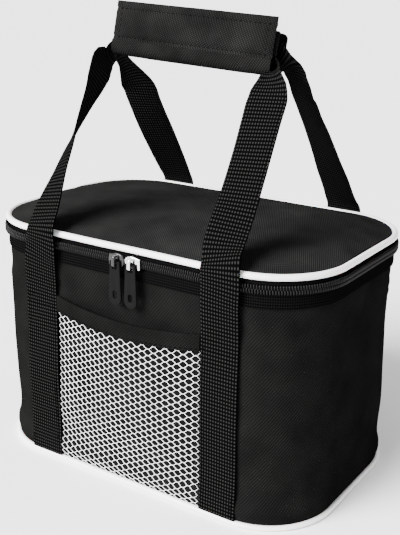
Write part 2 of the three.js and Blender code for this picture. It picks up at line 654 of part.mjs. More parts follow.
// Net of crossing strands: junctions at the even places of a lattice, gaps at the odd ones.
// The half gaps along the border are filled, as a selvedge.
function pocketNet() {
  const points = [];
  const triangles = [];
  const known = new Map();
  const cellX = (2 * POCKET_HALF) / NET_COLUMNS;
  const cellZ = (POCKET_TOP - POCKET_BAND_HEIGHT - WALL_BOTTOM) / NET_ROWS;
  const open = 1 - (NET_CORD / 2) * (Math.hypot(cellX, cellZ) / (cellX * cellZ));

  // Index of a lattice point on the front or the back of the net
  const at = ([i, j], back) => {
    const key = `${i} ${j} ${back}`;
    if (!known.has(key)) {
      const x = POCKET_HALF * ((2 * i) / NET_COLUMNS - 1);
      const top = pocketEdge(x) - POCKET_BAND_HEIGHT - LAYER_GAP;
      const z = THREE.MathUtils.lerp(WALL_BOTTOM, top, j / NET_ROWS);
      known.set(key, points.length);
      points.push(new THREE.Vector3(x, pocketFace(x, z) - (back ? 0 : NET_THICKNESS), z));
    }
    return known.get(key);
  };
  const quad = (a, b, c, d) => triangles.push(a, b, c, a, c, d);
  const wall = (a, b) => quad(at(a, false), at(b, false), at(b, true), at(a, true));
  const bothFaces = (places) => {
    for (const back of [false, true]) {
      const corners = (back ? places.toReversed() : places).map((place) => at(place, back));
      for (let k = 2; k < corners.length; k++) triangles.push(corners[0], corners[k - 1], corners[k]);
    }
  };

  const around = [[1, 0], [0, 1], [-1, 0], [0, -1]];
  const inside = ([i, j]) => i >= 0 && i <= NET_COLUMNS && j >= 0 && j <= NET_ROWS;
  for (let i = 0; i <= NET_COLUMNS; i++) {
    for (let j = 1 - (i % 2); j <= NET_ROWS; j += 2) {
      const junctions = around.map(([di, dj]) => [i + di, j + dj]);
      if (junctions.every(inside)) {
        const gap = around.map(([di, dj]) => [i + di * open, j + dj * open]);
        junctions.forEach((junction, k) => {
          const next = (k + 1) % junctions.length;
          bothFaces([junction, junctions[next], gap[next], gap[k]]);
          wall(gap[k], gap[next]);
        });
      } else {
        const missing = junctions.findIndex((place) => !inside(place));
        const kept = [1, 2, 3].map((k) => junctions[(missing + k) % junctions.length]);
        bothFaces(kept);
        wall(kept[0], kept[2]);
      }
    }
  }
  return solidOf(points, triangles);
}

function pocketBand() {
  const sections = Array.from({ length: BAND_STEPS + 1 }, (_, i) => {
    const x = POCKET_HALF * ((2 * i) / BAND_STEPS - 1);
    const top = pocketEdge(x);
    const bottom = top - POCKET_BAND_HEIGHT;
    const corner = (z, stand) => new THREE.Vector3(x, pocketFace(x, z) - stand, z);
    return [corner(bottom, 0), corner(bottom, POCKET_BAND), corner(top, POCKET_BAND), corner(top, 0)];
  });
  return loft(sections);
}

function addPocket() {
  addPiece('pocket_mesh', pocketNet(), whiteMesh);
  addPiece('pocket_binding', pocketBand(), blackPolyester);
}

addBody();
addZip();
addLid();
addPulls();
addWrap();
addStraps();
addPocket();

export default bag;
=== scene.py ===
# %% [markdown]
# # Sewing an insulated lunch bag
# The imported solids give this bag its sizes, its layers and its hinges. This lesson gives each layer
# the form and finish that it has on the real bag: coated twill, foam, metallised film, webbing, net,
# piping and a zip. Every piece is modelled in metres, where the solids are, and rides on the body
# that carries it.

# %% Load the frame
import json
import math

import bmesh
import bpy
from mathutils import Matrix, Vector, noise
from mathutils.bvhtree import BVHTree
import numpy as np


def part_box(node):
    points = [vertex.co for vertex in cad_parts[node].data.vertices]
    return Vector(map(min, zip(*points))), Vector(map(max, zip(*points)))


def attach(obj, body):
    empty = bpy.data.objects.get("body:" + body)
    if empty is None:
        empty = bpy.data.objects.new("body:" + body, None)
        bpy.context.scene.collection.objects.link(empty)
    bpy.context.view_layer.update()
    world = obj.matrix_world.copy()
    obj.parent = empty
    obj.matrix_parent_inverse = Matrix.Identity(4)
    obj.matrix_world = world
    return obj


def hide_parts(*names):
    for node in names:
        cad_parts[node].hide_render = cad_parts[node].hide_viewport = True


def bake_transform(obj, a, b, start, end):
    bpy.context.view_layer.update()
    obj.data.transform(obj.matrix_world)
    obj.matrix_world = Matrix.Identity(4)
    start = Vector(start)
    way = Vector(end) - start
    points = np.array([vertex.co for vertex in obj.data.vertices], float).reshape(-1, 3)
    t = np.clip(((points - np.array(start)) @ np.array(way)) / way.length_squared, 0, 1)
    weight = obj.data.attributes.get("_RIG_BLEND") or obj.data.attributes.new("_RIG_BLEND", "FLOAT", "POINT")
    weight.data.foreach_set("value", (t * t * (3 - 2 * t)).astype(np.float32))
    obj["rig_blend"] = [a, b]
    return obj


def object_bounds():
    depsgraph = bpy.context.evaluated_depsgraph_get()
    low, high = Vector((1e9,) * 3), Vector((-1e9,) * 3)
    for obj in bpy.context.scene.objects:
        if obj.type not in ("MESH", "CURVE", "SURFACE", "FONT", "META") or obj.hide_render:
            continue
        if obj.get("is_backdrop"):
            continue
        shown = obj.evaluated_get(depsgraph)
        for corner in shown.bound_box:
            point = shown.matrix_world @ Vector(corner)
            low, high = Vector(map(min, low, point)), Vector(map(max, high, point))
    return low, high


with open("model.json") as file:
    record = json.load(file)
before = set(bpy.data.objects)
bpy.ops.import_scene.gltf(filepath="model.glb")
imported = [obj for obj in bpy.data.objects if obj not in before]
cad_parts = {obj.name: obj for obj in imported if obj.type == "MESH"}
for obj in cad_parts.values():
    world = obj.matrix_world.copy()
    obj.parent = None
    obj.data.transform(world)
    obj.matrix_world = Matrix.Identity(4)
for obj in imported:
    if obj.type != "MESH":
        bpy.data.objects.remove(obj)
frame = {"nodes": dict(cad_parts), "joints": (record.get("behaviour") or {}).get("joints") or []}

MM = 0.001
UP = Vector((0, 0, 1))
cad_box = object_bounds()
joints = {joint["name"]: joint for joint in frame["joints"]}

# %% [markdown]
# ## The camera
# The camera stands where the photographer stood. Its place, turn and focal length come from fitting
# the rims, corners and strap edges of a bag of this size to the picture. A focal length in pixels
# becomes a lens in millimetres through the picture's long side, which Blender gives the sensor width.

# %% Camera
CAMERA_PLACE = Vector((314.65, -474.84, 313.36)) * MM
CAMERA_YAW = math.radians(33.32)
CAMERA_PITCH = math.radians(18.34)
CAMERA_ROLL = math.radians(0.90)
FOCAL_PIXELS = 916.4
PICTURE_HEIGHT = 535  # pixels
SENSOR = 36  # mm

camera = bpy.data.objects.new("camera", bpy.data.cameras.new("camera"))
bpy.context.scene.collection.objects.link(camera)
bpy.context.scene.camera = camera
camera.data.sensor_width = SENSOR
camera.data.lens = FOCAL_PIXELS / PICTURE_HEIGHT * SENSOR
level = Vector((math.cos(CAMERA_YAW), math.sin(CAMERA_YAW), 0))
towards = Vector((math.sin(CAMERA_YAW), -math.cos(CAMERA_YAW), 0)) * math.cos(CAMERA_PITCH)
towards.z = math.sin(CAMERA_PITCH)
turn = Matrix.Rotation(CAMERA_ROLL, 3, towards)
axes = [turn @ level, turn @ towards.cross(level), towards]
camera.matrix_world = Matrix.Translation(CAMERA_PLACE) @ Matrix(axes).transposed().to_4x4()
print(f"lens {camera.data.lens:.1f} mm")

# %% [markdown]
# ## Light
# A product like this is shot on white, so the world around it is white. One very wide light comes
# from the upper front left, so that the front and the lid catch it and the right-hand side falls into
# shade. It is a sun lamp, because that lights the whole floor evenly. A small lamp beside the camera
# puts a glint on metal and vinyl.

# %% Light
WORLD_STRENGTH = 0.9
LAMP_TARGET = Vector((0, 0, 110)) * MM


def linear(colour):
    """Linear red, green, blue and alpha of an sRGB hex colour."""
    parts = [int(colour[i:i + 2], 16) / 255 for i in (1, 3, 5)]
    return [*(c / 12.92 if c <= 0.04045 else ((c + 0.055) / 1.055) ** 2.4 for c in parts), 1.0]


def lamp(name, kind, place, power, **settings):
    light = bpy.data.lights.new(name, kind)
    light.energy = power
    for key, value in settings.items():
        setattr(light, key, value)
    made = bpy.data.objects.new(name, light)
    made.location = place
    made.rotation_euler = (LAMP_TARGET - made.location).to_track_quat("-Z", "Y").to_euler()
    bpy.context.scene.collection.objects.link(made)


lamp("wide_light", "SUN", place=(-0.55, -1.3, 1.0), power=16, angle=math.radians(40))
lamp("glint_lamp", "AREA", place=(-0.35, -1.1, 0.75), power=6, shape="DISK", size=0.35)
world = bpy.data.worlds.new("white_studio")
bpy.context.scene.world = world
world.use_nodes = True
world.node_tree.nodes["Background"].inputs["Color"].default_value = linear("#ffffff")
world.node_tree.nodes["Background"].inputs["Strength"].default_value = WORLD_STRENGTH
print(f"{len(bpy.data.lights)} lamps")

# %% [markdown]
# ## Tools for finishes
# One small function adds a node, sets it and links it. Another starts a material from its principled
# shader, and a third gives it its colours and relief. A wave texture repeats every pi / 10 units at
# scale 1, so a pattern's scale is that number over its real spacing.

# %% Node helpers
WAVE = math.pi / 10


def wire(node, sources):
    """Links the first output of each source, or a socket, to the named inputs of a node."""
    for name, source in sources.items():
        socket = source.outputs[0] if isinstance(source, bpy.types.Node) else source
        node.id_data.links.new(socket, node.inputs[name])


def add(tree, kind, inputs=None, **settings):
    """Adds a node with its settings, and sets or links its inputs."""
    node = tree.nodes.new("ShaderNode" + kind)
    for name, value in settings.items():
        setattr(node, name, value)
    for name, value in (inputs or {}).items():
        if isinstance(value, (bpy.types.Node, bpy.types.NodeSocket)):
            wire(node, {name: value})
        else:
            node.inputs[name].default_value = value
    return node


def surface(name, colour, **sockets):
    """A material with its shader's constants set; an underscore stands for a space in a socket's name."""
    material = bpy.data.materials.new(name)
    material.use_nodes = True
    shader = material.node_tree.nodes["Principled BSDF"]
    shader.inputs["Base Color"].default_value = linear(colour)
    for socket, value in sockets.items():
        shader.inputs[socket.replace("_", " ")].default_value = value
    return material, material.node_tree, shader


def finish(shader, tone, dark, light, height, depth, strength):
    """Mixes a shader's two colours by one pattern and raises its surface by another."""
    tree = shader.id_data
    colour = add(tree, "MixRGB", {"Fac": tone, "Color1": linear(dark), "Color2": linear(light)})
    bump = add(tree, "Bump", {"Height": height, "Distance": depth, "Strength": strength})
    wire(shader, {"Base Color": colour, "Normal": bump})


print("scale of a wave that repeats every millimetre:", round(WAVE / MM))

# %% [markdown]
# ## The floor
# A pale floor of matt paint runs far back behind the bag. It is one large face, and it is staged,
# because it is no part of the bag.

# %% Floor
FLOOR_SIZE = 80.0
floor_paint, _, _ = surface("matt_white_paint", "#fbfbfb", Roughness=0.9)
bm = bmesh.new()
bmesh.ops.create_grid(bm, x_segments=1, y_segments=1, size=FLOOR_SIZE / 2)
floor_mesh = bpy.data.meshes.new("floor")
bm.to_mesh(floor_mesh)
bm.free()
floor_mesh.materials.append(floor_paint)
floor = bpy.data.objects.new("floor", floor_mesh)
bpy.context.scene.collection.objects.link(floor)
floor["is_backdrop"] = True
print("floor", FLOOR_SIZE, "m wide")

# %% [markdown]
# ## Woven finishes
# The shell is polyester twill with a coated back. Its yarns float over two and step aside, which
# draws fine diagonal ribs and a dull sheen. The ribs are really about 1 mm apart, and are drawn at
# 1.5 mm, because closer ones blur away in the picture. Each woven piece carries a UV map in metres,
# so that its ribs keep their size and follow the cloth.

# %% Twill
TWILL_RIB = 1.5 * MM
TWILL_YARN = 1.1 * MM
TWILL_PATCH = 24 * MM  # size of the light and dark areas that handling leaves
TWILL_DEPTH = 0.6 * MM


def twill(name, dark, light, lean):
    material, tree, shader = surface(name, dark, Roughness=0.9, Specular_IOR_Level=0.0)
    cloth = add(tree, "UVMap", uv_map="cloth")
    turned = add(tree, "Mapping", {"Vector": cloth, "Rotation": (0, 0, math.radians(lean))})
    ribs = add(tree, "TexWave", {"Vector": turned, "Scale": WAVE / TWILL_RIB, "Distortion": 0.6})
    yarns = add(tree, "TexWave", {"Vector": turned, "Scale": WAVE / TWILL_YARN}, bands_direction="Y")
    weave = add(tree, "Math", {0: ribs, 1: yarns, 2: 0.25}, operation="MULTIPLY_ADD")
    patches = add(tree, "TexNoise", {"Vector": cloth, "Scale": 1 / TWILL_PATCH, "Detail": 3.0})
    tone = add(tree, "Math", {0: weave, 1: patches}, operation="MULTIPLY")
    finish(shader, tone, dark, light, weave, TWILL_DEPTH, strength=0.8)
    return material


wall_twill = twill("coated_polyester_twill", "#070707", "#212120", 38)
# The lid's copy is lighter than the wall's. That extra brightness is painted light for the light that falls
# on the top of the lid.
lid_twill_painted_light = twill("coated_polyester_twill_lid_painted_light", "#101010", "#343433", 62)
wrap_twill = twill("coated_polyester_twill_wrap", "#020202", "#2d2d2c", -32)
plain_twill = twill("coated_polyester_twill_base", "#060606", "#1e1e1d", 45)
print("twill ribs every", TWILL_RIB / MM, "mm")

# %% [markdown]
# The handles are polypropylene webbing. Its weft makes ribs across the strap, and the warp yarns that
# cross a rib show as a row of bright dots. Two waves multiplied give the dots: one runs along the
# strap and one across. The zip's tape and the binding are finer weaves of the same kind.

# %% Webbing and tape
WEBBING_ROW = 2.3 * MM
WEBBING_WARP = 1.8 * MM
TAPE_ROW = 1.3 * MM
TAPE_WARP = 1.6 * MM


def plain_weave(name, dark, light, row, warp, depth):
    material, tree, shader = surface(name, dark, Roughness=0.9, Specular_IOR_Level=0.0)
    cloth = add(tree, "UVMap", uv_map="cloth")
    rows = add(tree, "TexWave", {"Vector": cloth, "Scale": WAVE / row})
    warps = add(tree, "TexWave", {"Vector": cloth, "Scale": WAVE / warp}, bands_direction="Y")
    crossing = add(tree, "Math", {0: rows, 1: warps}, operation="MULTIPLY")
    dots = add(tree, "Math", {0: crossing, 1: 1.6, 2: -0.35}, operation="MULTIPLY_ADD", use_clamp=True)
    finish(shader, dots, dark, light, crossing, depth, strength=0.6)
    return material


webbing = plain_weave("polypropylene_webbing", "#030303", "#232322", WEBBING_ROW, WEBBING_WARP, 0.5 * MM)
zip_tape = plain_weave("polyester_zip_tape", "#040404", "#121212", TAPE_ROW, TAPE_WARP, 0.2 * MM)
binding_tape = plain_weave("polyester_binding_tape", "#080808", "#1b1b1b", TAPE_ROW, TAPE_WARP, 0.2 * MM)
print("webbing dots every", WEBBING_WARP / MM, "mm")

# %% [markdown]
# ## Other finishes
# Vinyl piping is extruded, smooth and slightly waxy. The net is knitted from white polyester yarn.
# The film inside is aluminium on plastic, crazed by handling. Foam is blown polyethylene with small
# closed cells. The zip has nylon teeth, one plated slider, one enamelled slider and moulded pulls.
# These surfaces have no direction, so their patterns read Object coordinates.

# %% Plain surfaces
VINYL_GRAIN = 3 * MM
YARN_GRAIN = 0.8 * MM
FILM_CREASE = 9 * MM
FOAM_CELL = 1.6 * MM
SCRATCH = 5 * MM
NAP = 0.9 * MM


def grained(name, colours, grain, depth, texture="TexNoise", strength=0.4, **sockets):
    """A surface whose colour and height follow one even grain."""
    material, tree, shader = surface(name, colours[0], **sockets)
    place = add(tree, "TexCoord").outputs["Object"]
    pattern = add(tree, texture, {"Vector": place, "Scale": 1 / grain})
    finish(shader, pattern, *colours, pattern, depth, strength)
    return material


vinyl = grained("white_vinyl", ("#f7f7f5", "#ececea"), VINYL_GRAIN, 0.1 * MM, Roughness=0.35, IOR=1.53,
                Subsurface_Weight=0.1, Subsurface_Scale=1.5 * MM)
net_yarn = grained("white_polyester_yarn", ("#fafafa", "#e4e6e8"), YARN_GRAIN, 0.2 * MM,
                   Roughness=0.6, IOR=1.55)
film = grained("metallised_film", ("#c9cdd0", "#a9aeb2"), FILM_CREASE, 1.2 * MM, "TexVoronoi", 0.5,
               Roughness=0.24, Metallic=0.9)
foam = grained("polyethylene_foam", ("#dededa", "#c6c6c1"), FOAM_CELL, 0.3 * MM, "TexVoronoi", Roughness=0.9)
nylon = grained("nylon_coil", ("#050505", "#0e0e0e"), YARN_GRAIN, 0.05 * MM, Roughness=0.4,
                Specular_IOR_Level=0.12)
chrome = grained("chrome_plate", ("#e6e7e8", "#d5d7d9"), SCRATCH, 0.02 * MM, Roughness=0.12, Metallic=1.0)
enamel = grained("black_enamel", ("#040404", "#0a0a0a"), SCRATCH, 0.02 * MM, Roughness=0.25, IOR=1.5)
acetal = grained("moulded_acetal", ("#0b0b0b", "#151515"), NAP, 0.06 * MM, Roughness=0.5,
                 Specular_IOR_Level=0.0)
thread = grained("polyester_thread", ("#010101", "#050505"), YARN_GRAIN, 0.1 * MM, Roughness=0.9,
                 Specular_IOR_Level=0.0)
loop_pile = grained("nylon_loop_pile", ("#0b0b0c", "#262628"), NAP, 0.6 * MM, Roughness=0.95)
hook_pile = grained("nylon_hook_pile", ("#0c0c0d", "#1f1f21"), NAP, 0.5 * MM, "TexVoronoi", Roughness=0.6)
print(len(bpy.data.materials), "materials")

# %% [markdown]
# ## The bag's outline
# Everything on the body follows one rounded rectangle. A place on it is given by its distance u from
# the middle of the front, to the right if positive, so that the rear seam lies at half the girth.

# %% Outline of the bag
wall_low, wall_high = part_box("outer_wall")
CORNER = 44 * MM
FLAT_X = wall_high.x - CORNER
FLAT_Y = wall_high.y - CORNER
QUARTER = CORNER * math.pi / 2
GIRTH = 4 * (FLAT_X + FLAT_Y + QUARTER)
ZIP_END = FLAT_X + 2 * FLAT_Y + 2 * QUARTER  # the zip stops where the straight rear begins


def clamp(value, low, high):
    return max(low, min(high, value))


def outline(u):
    """Point of the wall's outline at a distance u from the middle of the front, and its outward direction."""
    side = math.copysign(1, u)
    s = abs(u)
    first = FLAT_X + QUARTER
    second = first + 2 * FLAT_Y
    angle = (clamp(s - FLAT_X, 0, QUARTER) + clamp(s - second, 0, QUARTER)) / CORNER
    x = min(s, FLAT_X) + CORNER * math.sin(angle) - max(s - ZIP_END, 0)
    y = clamp(s - first, 0, 2 * FLAT_Y) - FLAT_Y - CORNER * math.cos(angle)
    return Vector((side * x, y, 0)), Vector((side * math.sin(angle), -math.cos(angle), 0))


def spread(start, end, step):
    """Even places from start to end, about a step apart."""
    count = max(1, round((end - start) / step))
    return [start + (end - start) * k / count for k in range(count + 1)]


def bell(value, middle, reach):
    return math.exp(-(((value - middle) / reach) ** 2))


def ramp(value, low, high):
    """Smooth step from 0 at low to 1 at high."""
    t = clamp((value - low) / (high - low), 0, 1)
    return t * t * (3 - 2 * t)


print(f"girth {GIRTH / MM:.0f} mm, zip {2 * ZIP_END / MM:.0f} mm")

# %% [markdown]
# ## Drawing a section along a path
# Cloth edges, piping, webbing and tape are all one section drawn along a path. The section is a flat
# face made by an operator. Its rim is extruded from place to place, and a function says where each
# point of the section goes. The same steps fill the UV map: distance along the path, and the
# section's longer side.

# %% Section and sweep
MERGE = 0.001 * MM  # points closer than this are one point


def strip(width, height, columns=1, rows=1):
    """Flat section, centred, cut into columns and rows."""
    bm = bmesh.new()
    bmesh.ops.create_grid(bm, x_segments=columns, y_segments=rows, size=0.5)
    bmesh.ops.scale(bm, vec=(width, height, 1), verts=bm.verts)
    return bm


def disc(diameter, sides):
    bm = bmesh.new()
    bmesh.ops.create_circle(bm, cap_ends=True, segments=sides, radius=diameter / 2)
    return bm


def sweep(bm, places, put, closed=False):
    """Extrudes the section in bm through the places; put(place, across, height) positions its points."""
    names = ("across", "height", "travel")
    for name in names:
        bm.verts.layers.float.new(name)
    uv = bm.loops.layers.uv.new("cloth")
    across, height, travel = (bm.verts.layers.float[name] for name in names)
    for vert in bm.verts:
        vert[across], vert[height], _ = vert.co
    spans = [max(v[layer] for v in bm.verts) - min(v[layer] for v in bm.verts) for layer in (across, height)]
    longer = across if spans[0] > spans[1] else height
    caps = bm.faces[:]
    rim = [edge for edge in bm.edges if edge.is_boundary]
    moved = bm.verts[:]
    for k, place in enumerate(places):
        if k:
            made = bmesh.ops.extrude_edge_only(bm, edges=rim)["geom"]
            rim = [part for part in made if isinstance(part, bmesh.types.BMEdge) and part.is_boundary]
            moved = {vert for edge in rim for vert in edge.verts}
        for vert in moved:
            vert[travel] = place
            vert.co = put(place, vert[across], vert[height])
    if closed:
        bmesh.ops.delete(bm, geom=caps, context="FACES")
    else:
        bmesh.ops.edgeloop_fill(bm, edges=rim)
    for face in bm.faces:
        for loop in face.loops:
            loop[uv].uv = (loop.vert[travel], loop.vert[longer])
    if closed:
        bmesh.ops.remove_doubles(bm, verts=bm.verts, dist=MERGE)
        bare = [edge for edge in bm.edges if not edge.link_faces]
        bmesh.ops.delete(bm, geom=bare, context="EDGES")
    return bm


def lay_uv(bm, place):
    """Fills the UV map, in metres, from a function of a point."""
    uv = bm.loops.layers.uv.get("cloth") or bm.loops.layers.uv.new("cloth")
    for face in bm.faces:
        for loop in face.loops:
            loop[uv].uv = place(loop.vert.co)


def piece(name, bm, material, slot, body=None, stands_for=(), sharp=50):
    """Makes an object of a finished bmesh, with smooth shading apart from its sharp edges."""
    bmesh.ops.recalc_face_normals(bm, faces=bm.faces)
    mesh = bpy.data.meshes.new(name)
    bm.to_mesh(mesh)
    bm.free()
    mesh.shade_smooth()
    mesh.set_sharp_from_angle(angle=math.radians(sharp))
    mesh.materials.append(material)
    made = bpy.data.objects.new(name, mesh)
    bpy.context.scene.collection.objects.link(made)
    if body:
        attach(made, body)
    if stands_for:
        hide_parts(*stands_for)
    size = sum(len(face.vertices) - 2 for face in mesh.polygons)
    print(f"{name}: {size} triangles")
    return made


def on_wall(out, z):
    """A function for sweep that lays a section upright, a distance outside the wall and at a height."""
    def put(u, across, height):
        point, outward = outline(u)
        return point + outward * (out + across) + UP * (z + height)
    return put


print("points merge within", MERGE / MM, "mm")

# %% [markdown]
# ## The outer wall
# The wall is one length of twill round the bag. Foam stiffens it, but it is still cloth: it rolls
# over the base seam, draws in a little above it, and undulates between its seams. The relief is a
# sum of soft bumps and smooth noise. The straps, the pocket, the foam and the film follow it too.

# %% Outer wall
FABRIC = 1.0 * MM
ROUND_STEP = 4 * MM
SEAM_TURN = 1.5 * MM  # how far the cloth reaches below its solid, towards the piping
WALL_BASE = wall_low.z - SEAM_TURN
WALL_TOP = wall_high.z
WALL_ROWS = 48
ROLL_OUT, ROLL_Z, ROLL_REACH = 4.5 * MM, 10 * MM, 5 * MM
NECK_IN, NECK_Z, NECK_REACH = 1.3 * MM, 25 * MM, 13 * MM
BILLOW, BILLOW_SIZE = 1.5 * MM, 52 * MM
CRUMPLE, CRUMPLE_SIZE = 0.45 * MM, 18 * MM
PUCKER, PUCKER_SIZE = 3.2 * MM, 9 * MM
PUCKER_Z, PUCKER_REACH = WALL_TOP - 19 * MM, 7 * MM
RELIEF_RISE = 0.7  # below 1, folds are longer upwards than sideways
SEAM_HOLD = 0.6  # below 1, the seams hold only a narrow margin flat
around = spread(-GIRTH / 2, GIRTH / 2, ROUND_STEP)
wall_height = WALL_TOP - WALL_BASE


def relief(u, z):
    """How far the soft wall stands out of its flat pattern."""
    held = math.sin(math.pi * clamp((z - WALL_BASE) / wall_height, 0, 1)) ** SEAM_HOLD
    roll = ROLL_OUT * bell(z, ROLL_Z, ROLL_REACH) - NECK_IN * bell(z, NECK_Z, NECK_REACH)
    place = outline(u)[0] + UP * (z * RELIEF_RISE)
    billow = noise.noise(place / BILLOW_SIZE) * BILLOW
    crumple = noise.noise(place / CRUMPLE_SIZE) * CRUMPLE
    pucker = noise.noise(place / PUCKER_SIZE) * PUCKER * bell(z, PUCKER_Z, PUCKER_REACH)
    return held * (roll + billow + crumple + pucker)


def wall_point(u, z, out):
    point, outward = outline(u)
    return point + outward * (out + relief(u, z)) + UP * z


bm = strip(FABRIC, wall_height, 1, WALL_ROWS)
middle = (WALL_BASE + WALL_TOP) / 2
sweep(bm, around, lambda u, across, height: wall_point(u, middle + height, across - FABRIC / 2), closed=True)
wall = piece("wall_cloth", bm, wall_twill, "polyester", "bag_body", ["outer_wall"])

# %% [markdown]
# ## Piping
# White piping finishes the base seam and the lid seam. It is a vinyl tube round a cord, so its
# section is a circle that keeps its size all the way round and wanders slightly where it was sewn.
# Both tubes are drawn thinner than their solids, as the picture shows them.

# %% Piping
BASE_PIPING = 3.2 * MM
BASE_PIPING_FOOT = 0.4 * MM
BASE_PIPING_OUT = 0.5 * MM
LID_PIPING = 3.9 * MM
LID_PIPING_OUT = 0.7 * MM
PIPING_SIDES = 16
PIPING_STEP = 3 * MM
WANDER, WANDER_SIZE = 0.25 * MM, 40 * MM
lid_piping_low, lid_piping_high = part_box("lid_piping")
LID_Z = (lid_piping_low.z + lid_piping_high.z) / 2


def piping(name, diameter, out, foot, body, node):
    def put(u, across, height):
        wander = noise.noise(outline(u)[0] / WANDER_SIZE) * WANDER
        return on_wall(out + wander, foot + diameter / 2)(u, across, height)
    places = spread(-GIRTH / 2, GIRTH / 2, PIPING_STEP)
    bm = sweep(disc(diameter, PIPING_SIDES), places, put, closed=True)
    return piece(name, bm, vinyl, "piping", body, [node])


piping("base_piping_cord", BASE_PIPING, BASE_PIPING_OUT, BASE_PIPING_FOOT, "bag_body", "base_piping")
piping("lid_piping_cord", LID_PIPING, LID_PIPING_OUT, lid_piping_low.z, "lid", "lid_piping")

# %% [markdown]
# ## Panels
# The lid, the base, their foam and the lid's film are soft panels on the same outline. A thin section
# from the middle to the edge is swept round the bag, and its points are drawn towards the middle by
# their share of the way out. The points at the middle fall together and are merged.

# %% Panels
PANEL_COLUMNS = 26
PANEL_STEP = 6 * MM
RING_CROWDING = 0.8  # below 1, the rings lie closer towards the edge


def panel(inset, underside, thickness, rise):
    """Soft panel; rise(x, y, share) lifts it, with share 0 in the middle and 1 at the edge."""
    bm = strip(1, thickness, PANEL_COLUMNS, 1)

    def put(u, across, height):
        share = (across + 0.5) ** RING_CROWDING
        point, outward = outline(u)
        flat = (point - outward * inset) * share
        return Vector((flat.x, flat.y, underside + thickness / 2 + height + rise(flat.x, flat.y, share)))
    sweep(bm, spread(-GIRTH / 2, GIRTH / 2, PANEL_STEP), put, closed=True)
    lay_uv(bm, lambda co: co.xy)
    return bm


def level_panel(x, y, share):
    return 0


LID_CROWN = 5 * MM
FOAM = 4.5 * MM
FILM = 0.6 * MM
GAP = 0.3 * MM
LID_INSET = LID_PIPING / 2 - LID_PIPING_OUT + GAP
LID_FOAM_INSET = 4 * MM


def lid_crown(x, y, share):
    return LID_CROWN * (1 - share ** 2)


print("crown of the lid's foam:", LID_CROWN / MM, "mm")

# %% [markdown]
# The lid's cloth is settled by a short cloth simulation. A grid of cloth, cut a little wider than its
# seam and held along it, is pressed up from below for twenty frames. Its heights are kept, eased off
# where the foam and the seams allow no more, and the grid is removed.

# %% Lid cloth simulation
SWELL_STEP = 4 * MM
SWELL_SEAM = 4 * MM
SWELL_START = 2 * MM
SWELL_LIMIT = 6 * MM
SWELL_EASE = 0.02
SWELL_PRESSURE = 4
SWELL_FRAMES = 20
HOLLOW, HOLLOW_LONG, HOLLOW_WIDE = 1.3 * MM, 75 * MM, 60 * MM
RIM_PUCKER, RIM_PUCKER_SIZE = 0.35 * MM, 13 * MM
LID_HALF = Vector((FLAT_X + CORNER, FLAT_Y + CORNER))


def from_edge(co):
    """How far a point lies inside the bag's outline."""
    x, y = abs(co.x) - FLAT_X, abs(co.y) - FLAT_Y
    return CORNER - math.hypot(max(x, 0), max(y, 0)) - min(max(x, y), 0)


def settle(bm, seam):
    """Tree of the faces of a sheet after the simulation, with the points at seam held."""
    scene = bpy.context.scene
    mesh = bpy.data.meshes.new("settling_cloth")
    bm.to_mesh(mesh)
    sheet = bpy.data.objects.new("settling_cloth", mesh)
    scene.collection.objects.link(sheet)
    sheet.vertex_groups.new(name="seam").add(seam, 1, "REPLACE")
    cloth = sheet.modifiers.new("cloth", "CLOTH")
    cloth.collision_settings.use_collision = False
    cloth.settings.vertex_group_mass = "seam"
    cloth.settings.use_pressure = True
    cloth.settings.uniform_pressure_force = SWELL_PRESSURE
    cloth.settings.shrink_min = -SWELL_EASE
    cloth.settings.effector_weights.gravity = 0
    first = scene.frame_current
    for moment in range(1, SWELL_FRAMES + 1):
        scene.frame_set(moment)
    tree = BVHTree.FromObject(sheet, bpy.context.evaluated_depsgraph_get())
    scene.frame_set(first)
    bpy.data.objects.remove(sheet)
    bpy.data.meshes.remove(mesh)
    return tree


bm = bmesh.new()
bmesh.ops.create_grid(bm, x_segments=round(2 * LID_HALF.x / SWELL_STEP), size=1,
                      y_segments=round(2 * LID_HALF.y / SWELL_STEP),
                      matrix=Matrix.Diagonal((LID_HALF.x, LID_HALF.y, 1, 1)))
bmesh.ops.delete(bm, geom=[vert for vert in bm.verts if from_edge(vert.co) < 0], context="VERTS")
for vert in bm.verts:
    vert.co.z = SWELL_START * ramp(from_edge(vert.co), SWELL_SEAM, 6 * SWELL_SEAM)
bm.verts.index_update()
settled = settle(bm, [vert.index for vert in bm.verts if from_edge(vert.co) < SWELL_SEAM])
bm.free()


def lid_drape(x, y, share):
    """Settled height of the lid's cloth, with the hollows and puckers of cloth over soft foam."""
    hit = settled.ray_cast(Vector((x, y, 1)), -UP)[0]
    swell = SWELL_LIMIT * (1 - math.exp(-hit.z / SWELL_LIMIT)) if hit else 0
    hollow = noise.noise(Vector((x / HOLLOW_LONG, y / HOLLOW_WIDE, 1.3))) * HOLLOW * (1 - share ** 8)
    pucker = noise.noise(Vector((x / RIM_PUCKER_SIZE, y / RIM_PUCKER_SIZE, 6.0))) * RIM_PUCKER
    pucker *= bell(share, 0.95, 0.12)
    return max(lid_crown(x, y, share), swell + (hollow + pucker) * ramp(1 - share, 0, 0.05))


print("lid swell in the middle, mm:", round(lid_drape(0, 0, 0) / MM, 2))

# %% [markdown]
# With the heights known, the lid and the base are laid up: cloth, foam and, under the lid, film.

# %% Lid and base
base_low, base_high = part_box("base_panel")
base_foam_low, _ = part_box("base_foam")
BASE_INSET = wall_high.x - base_high.x
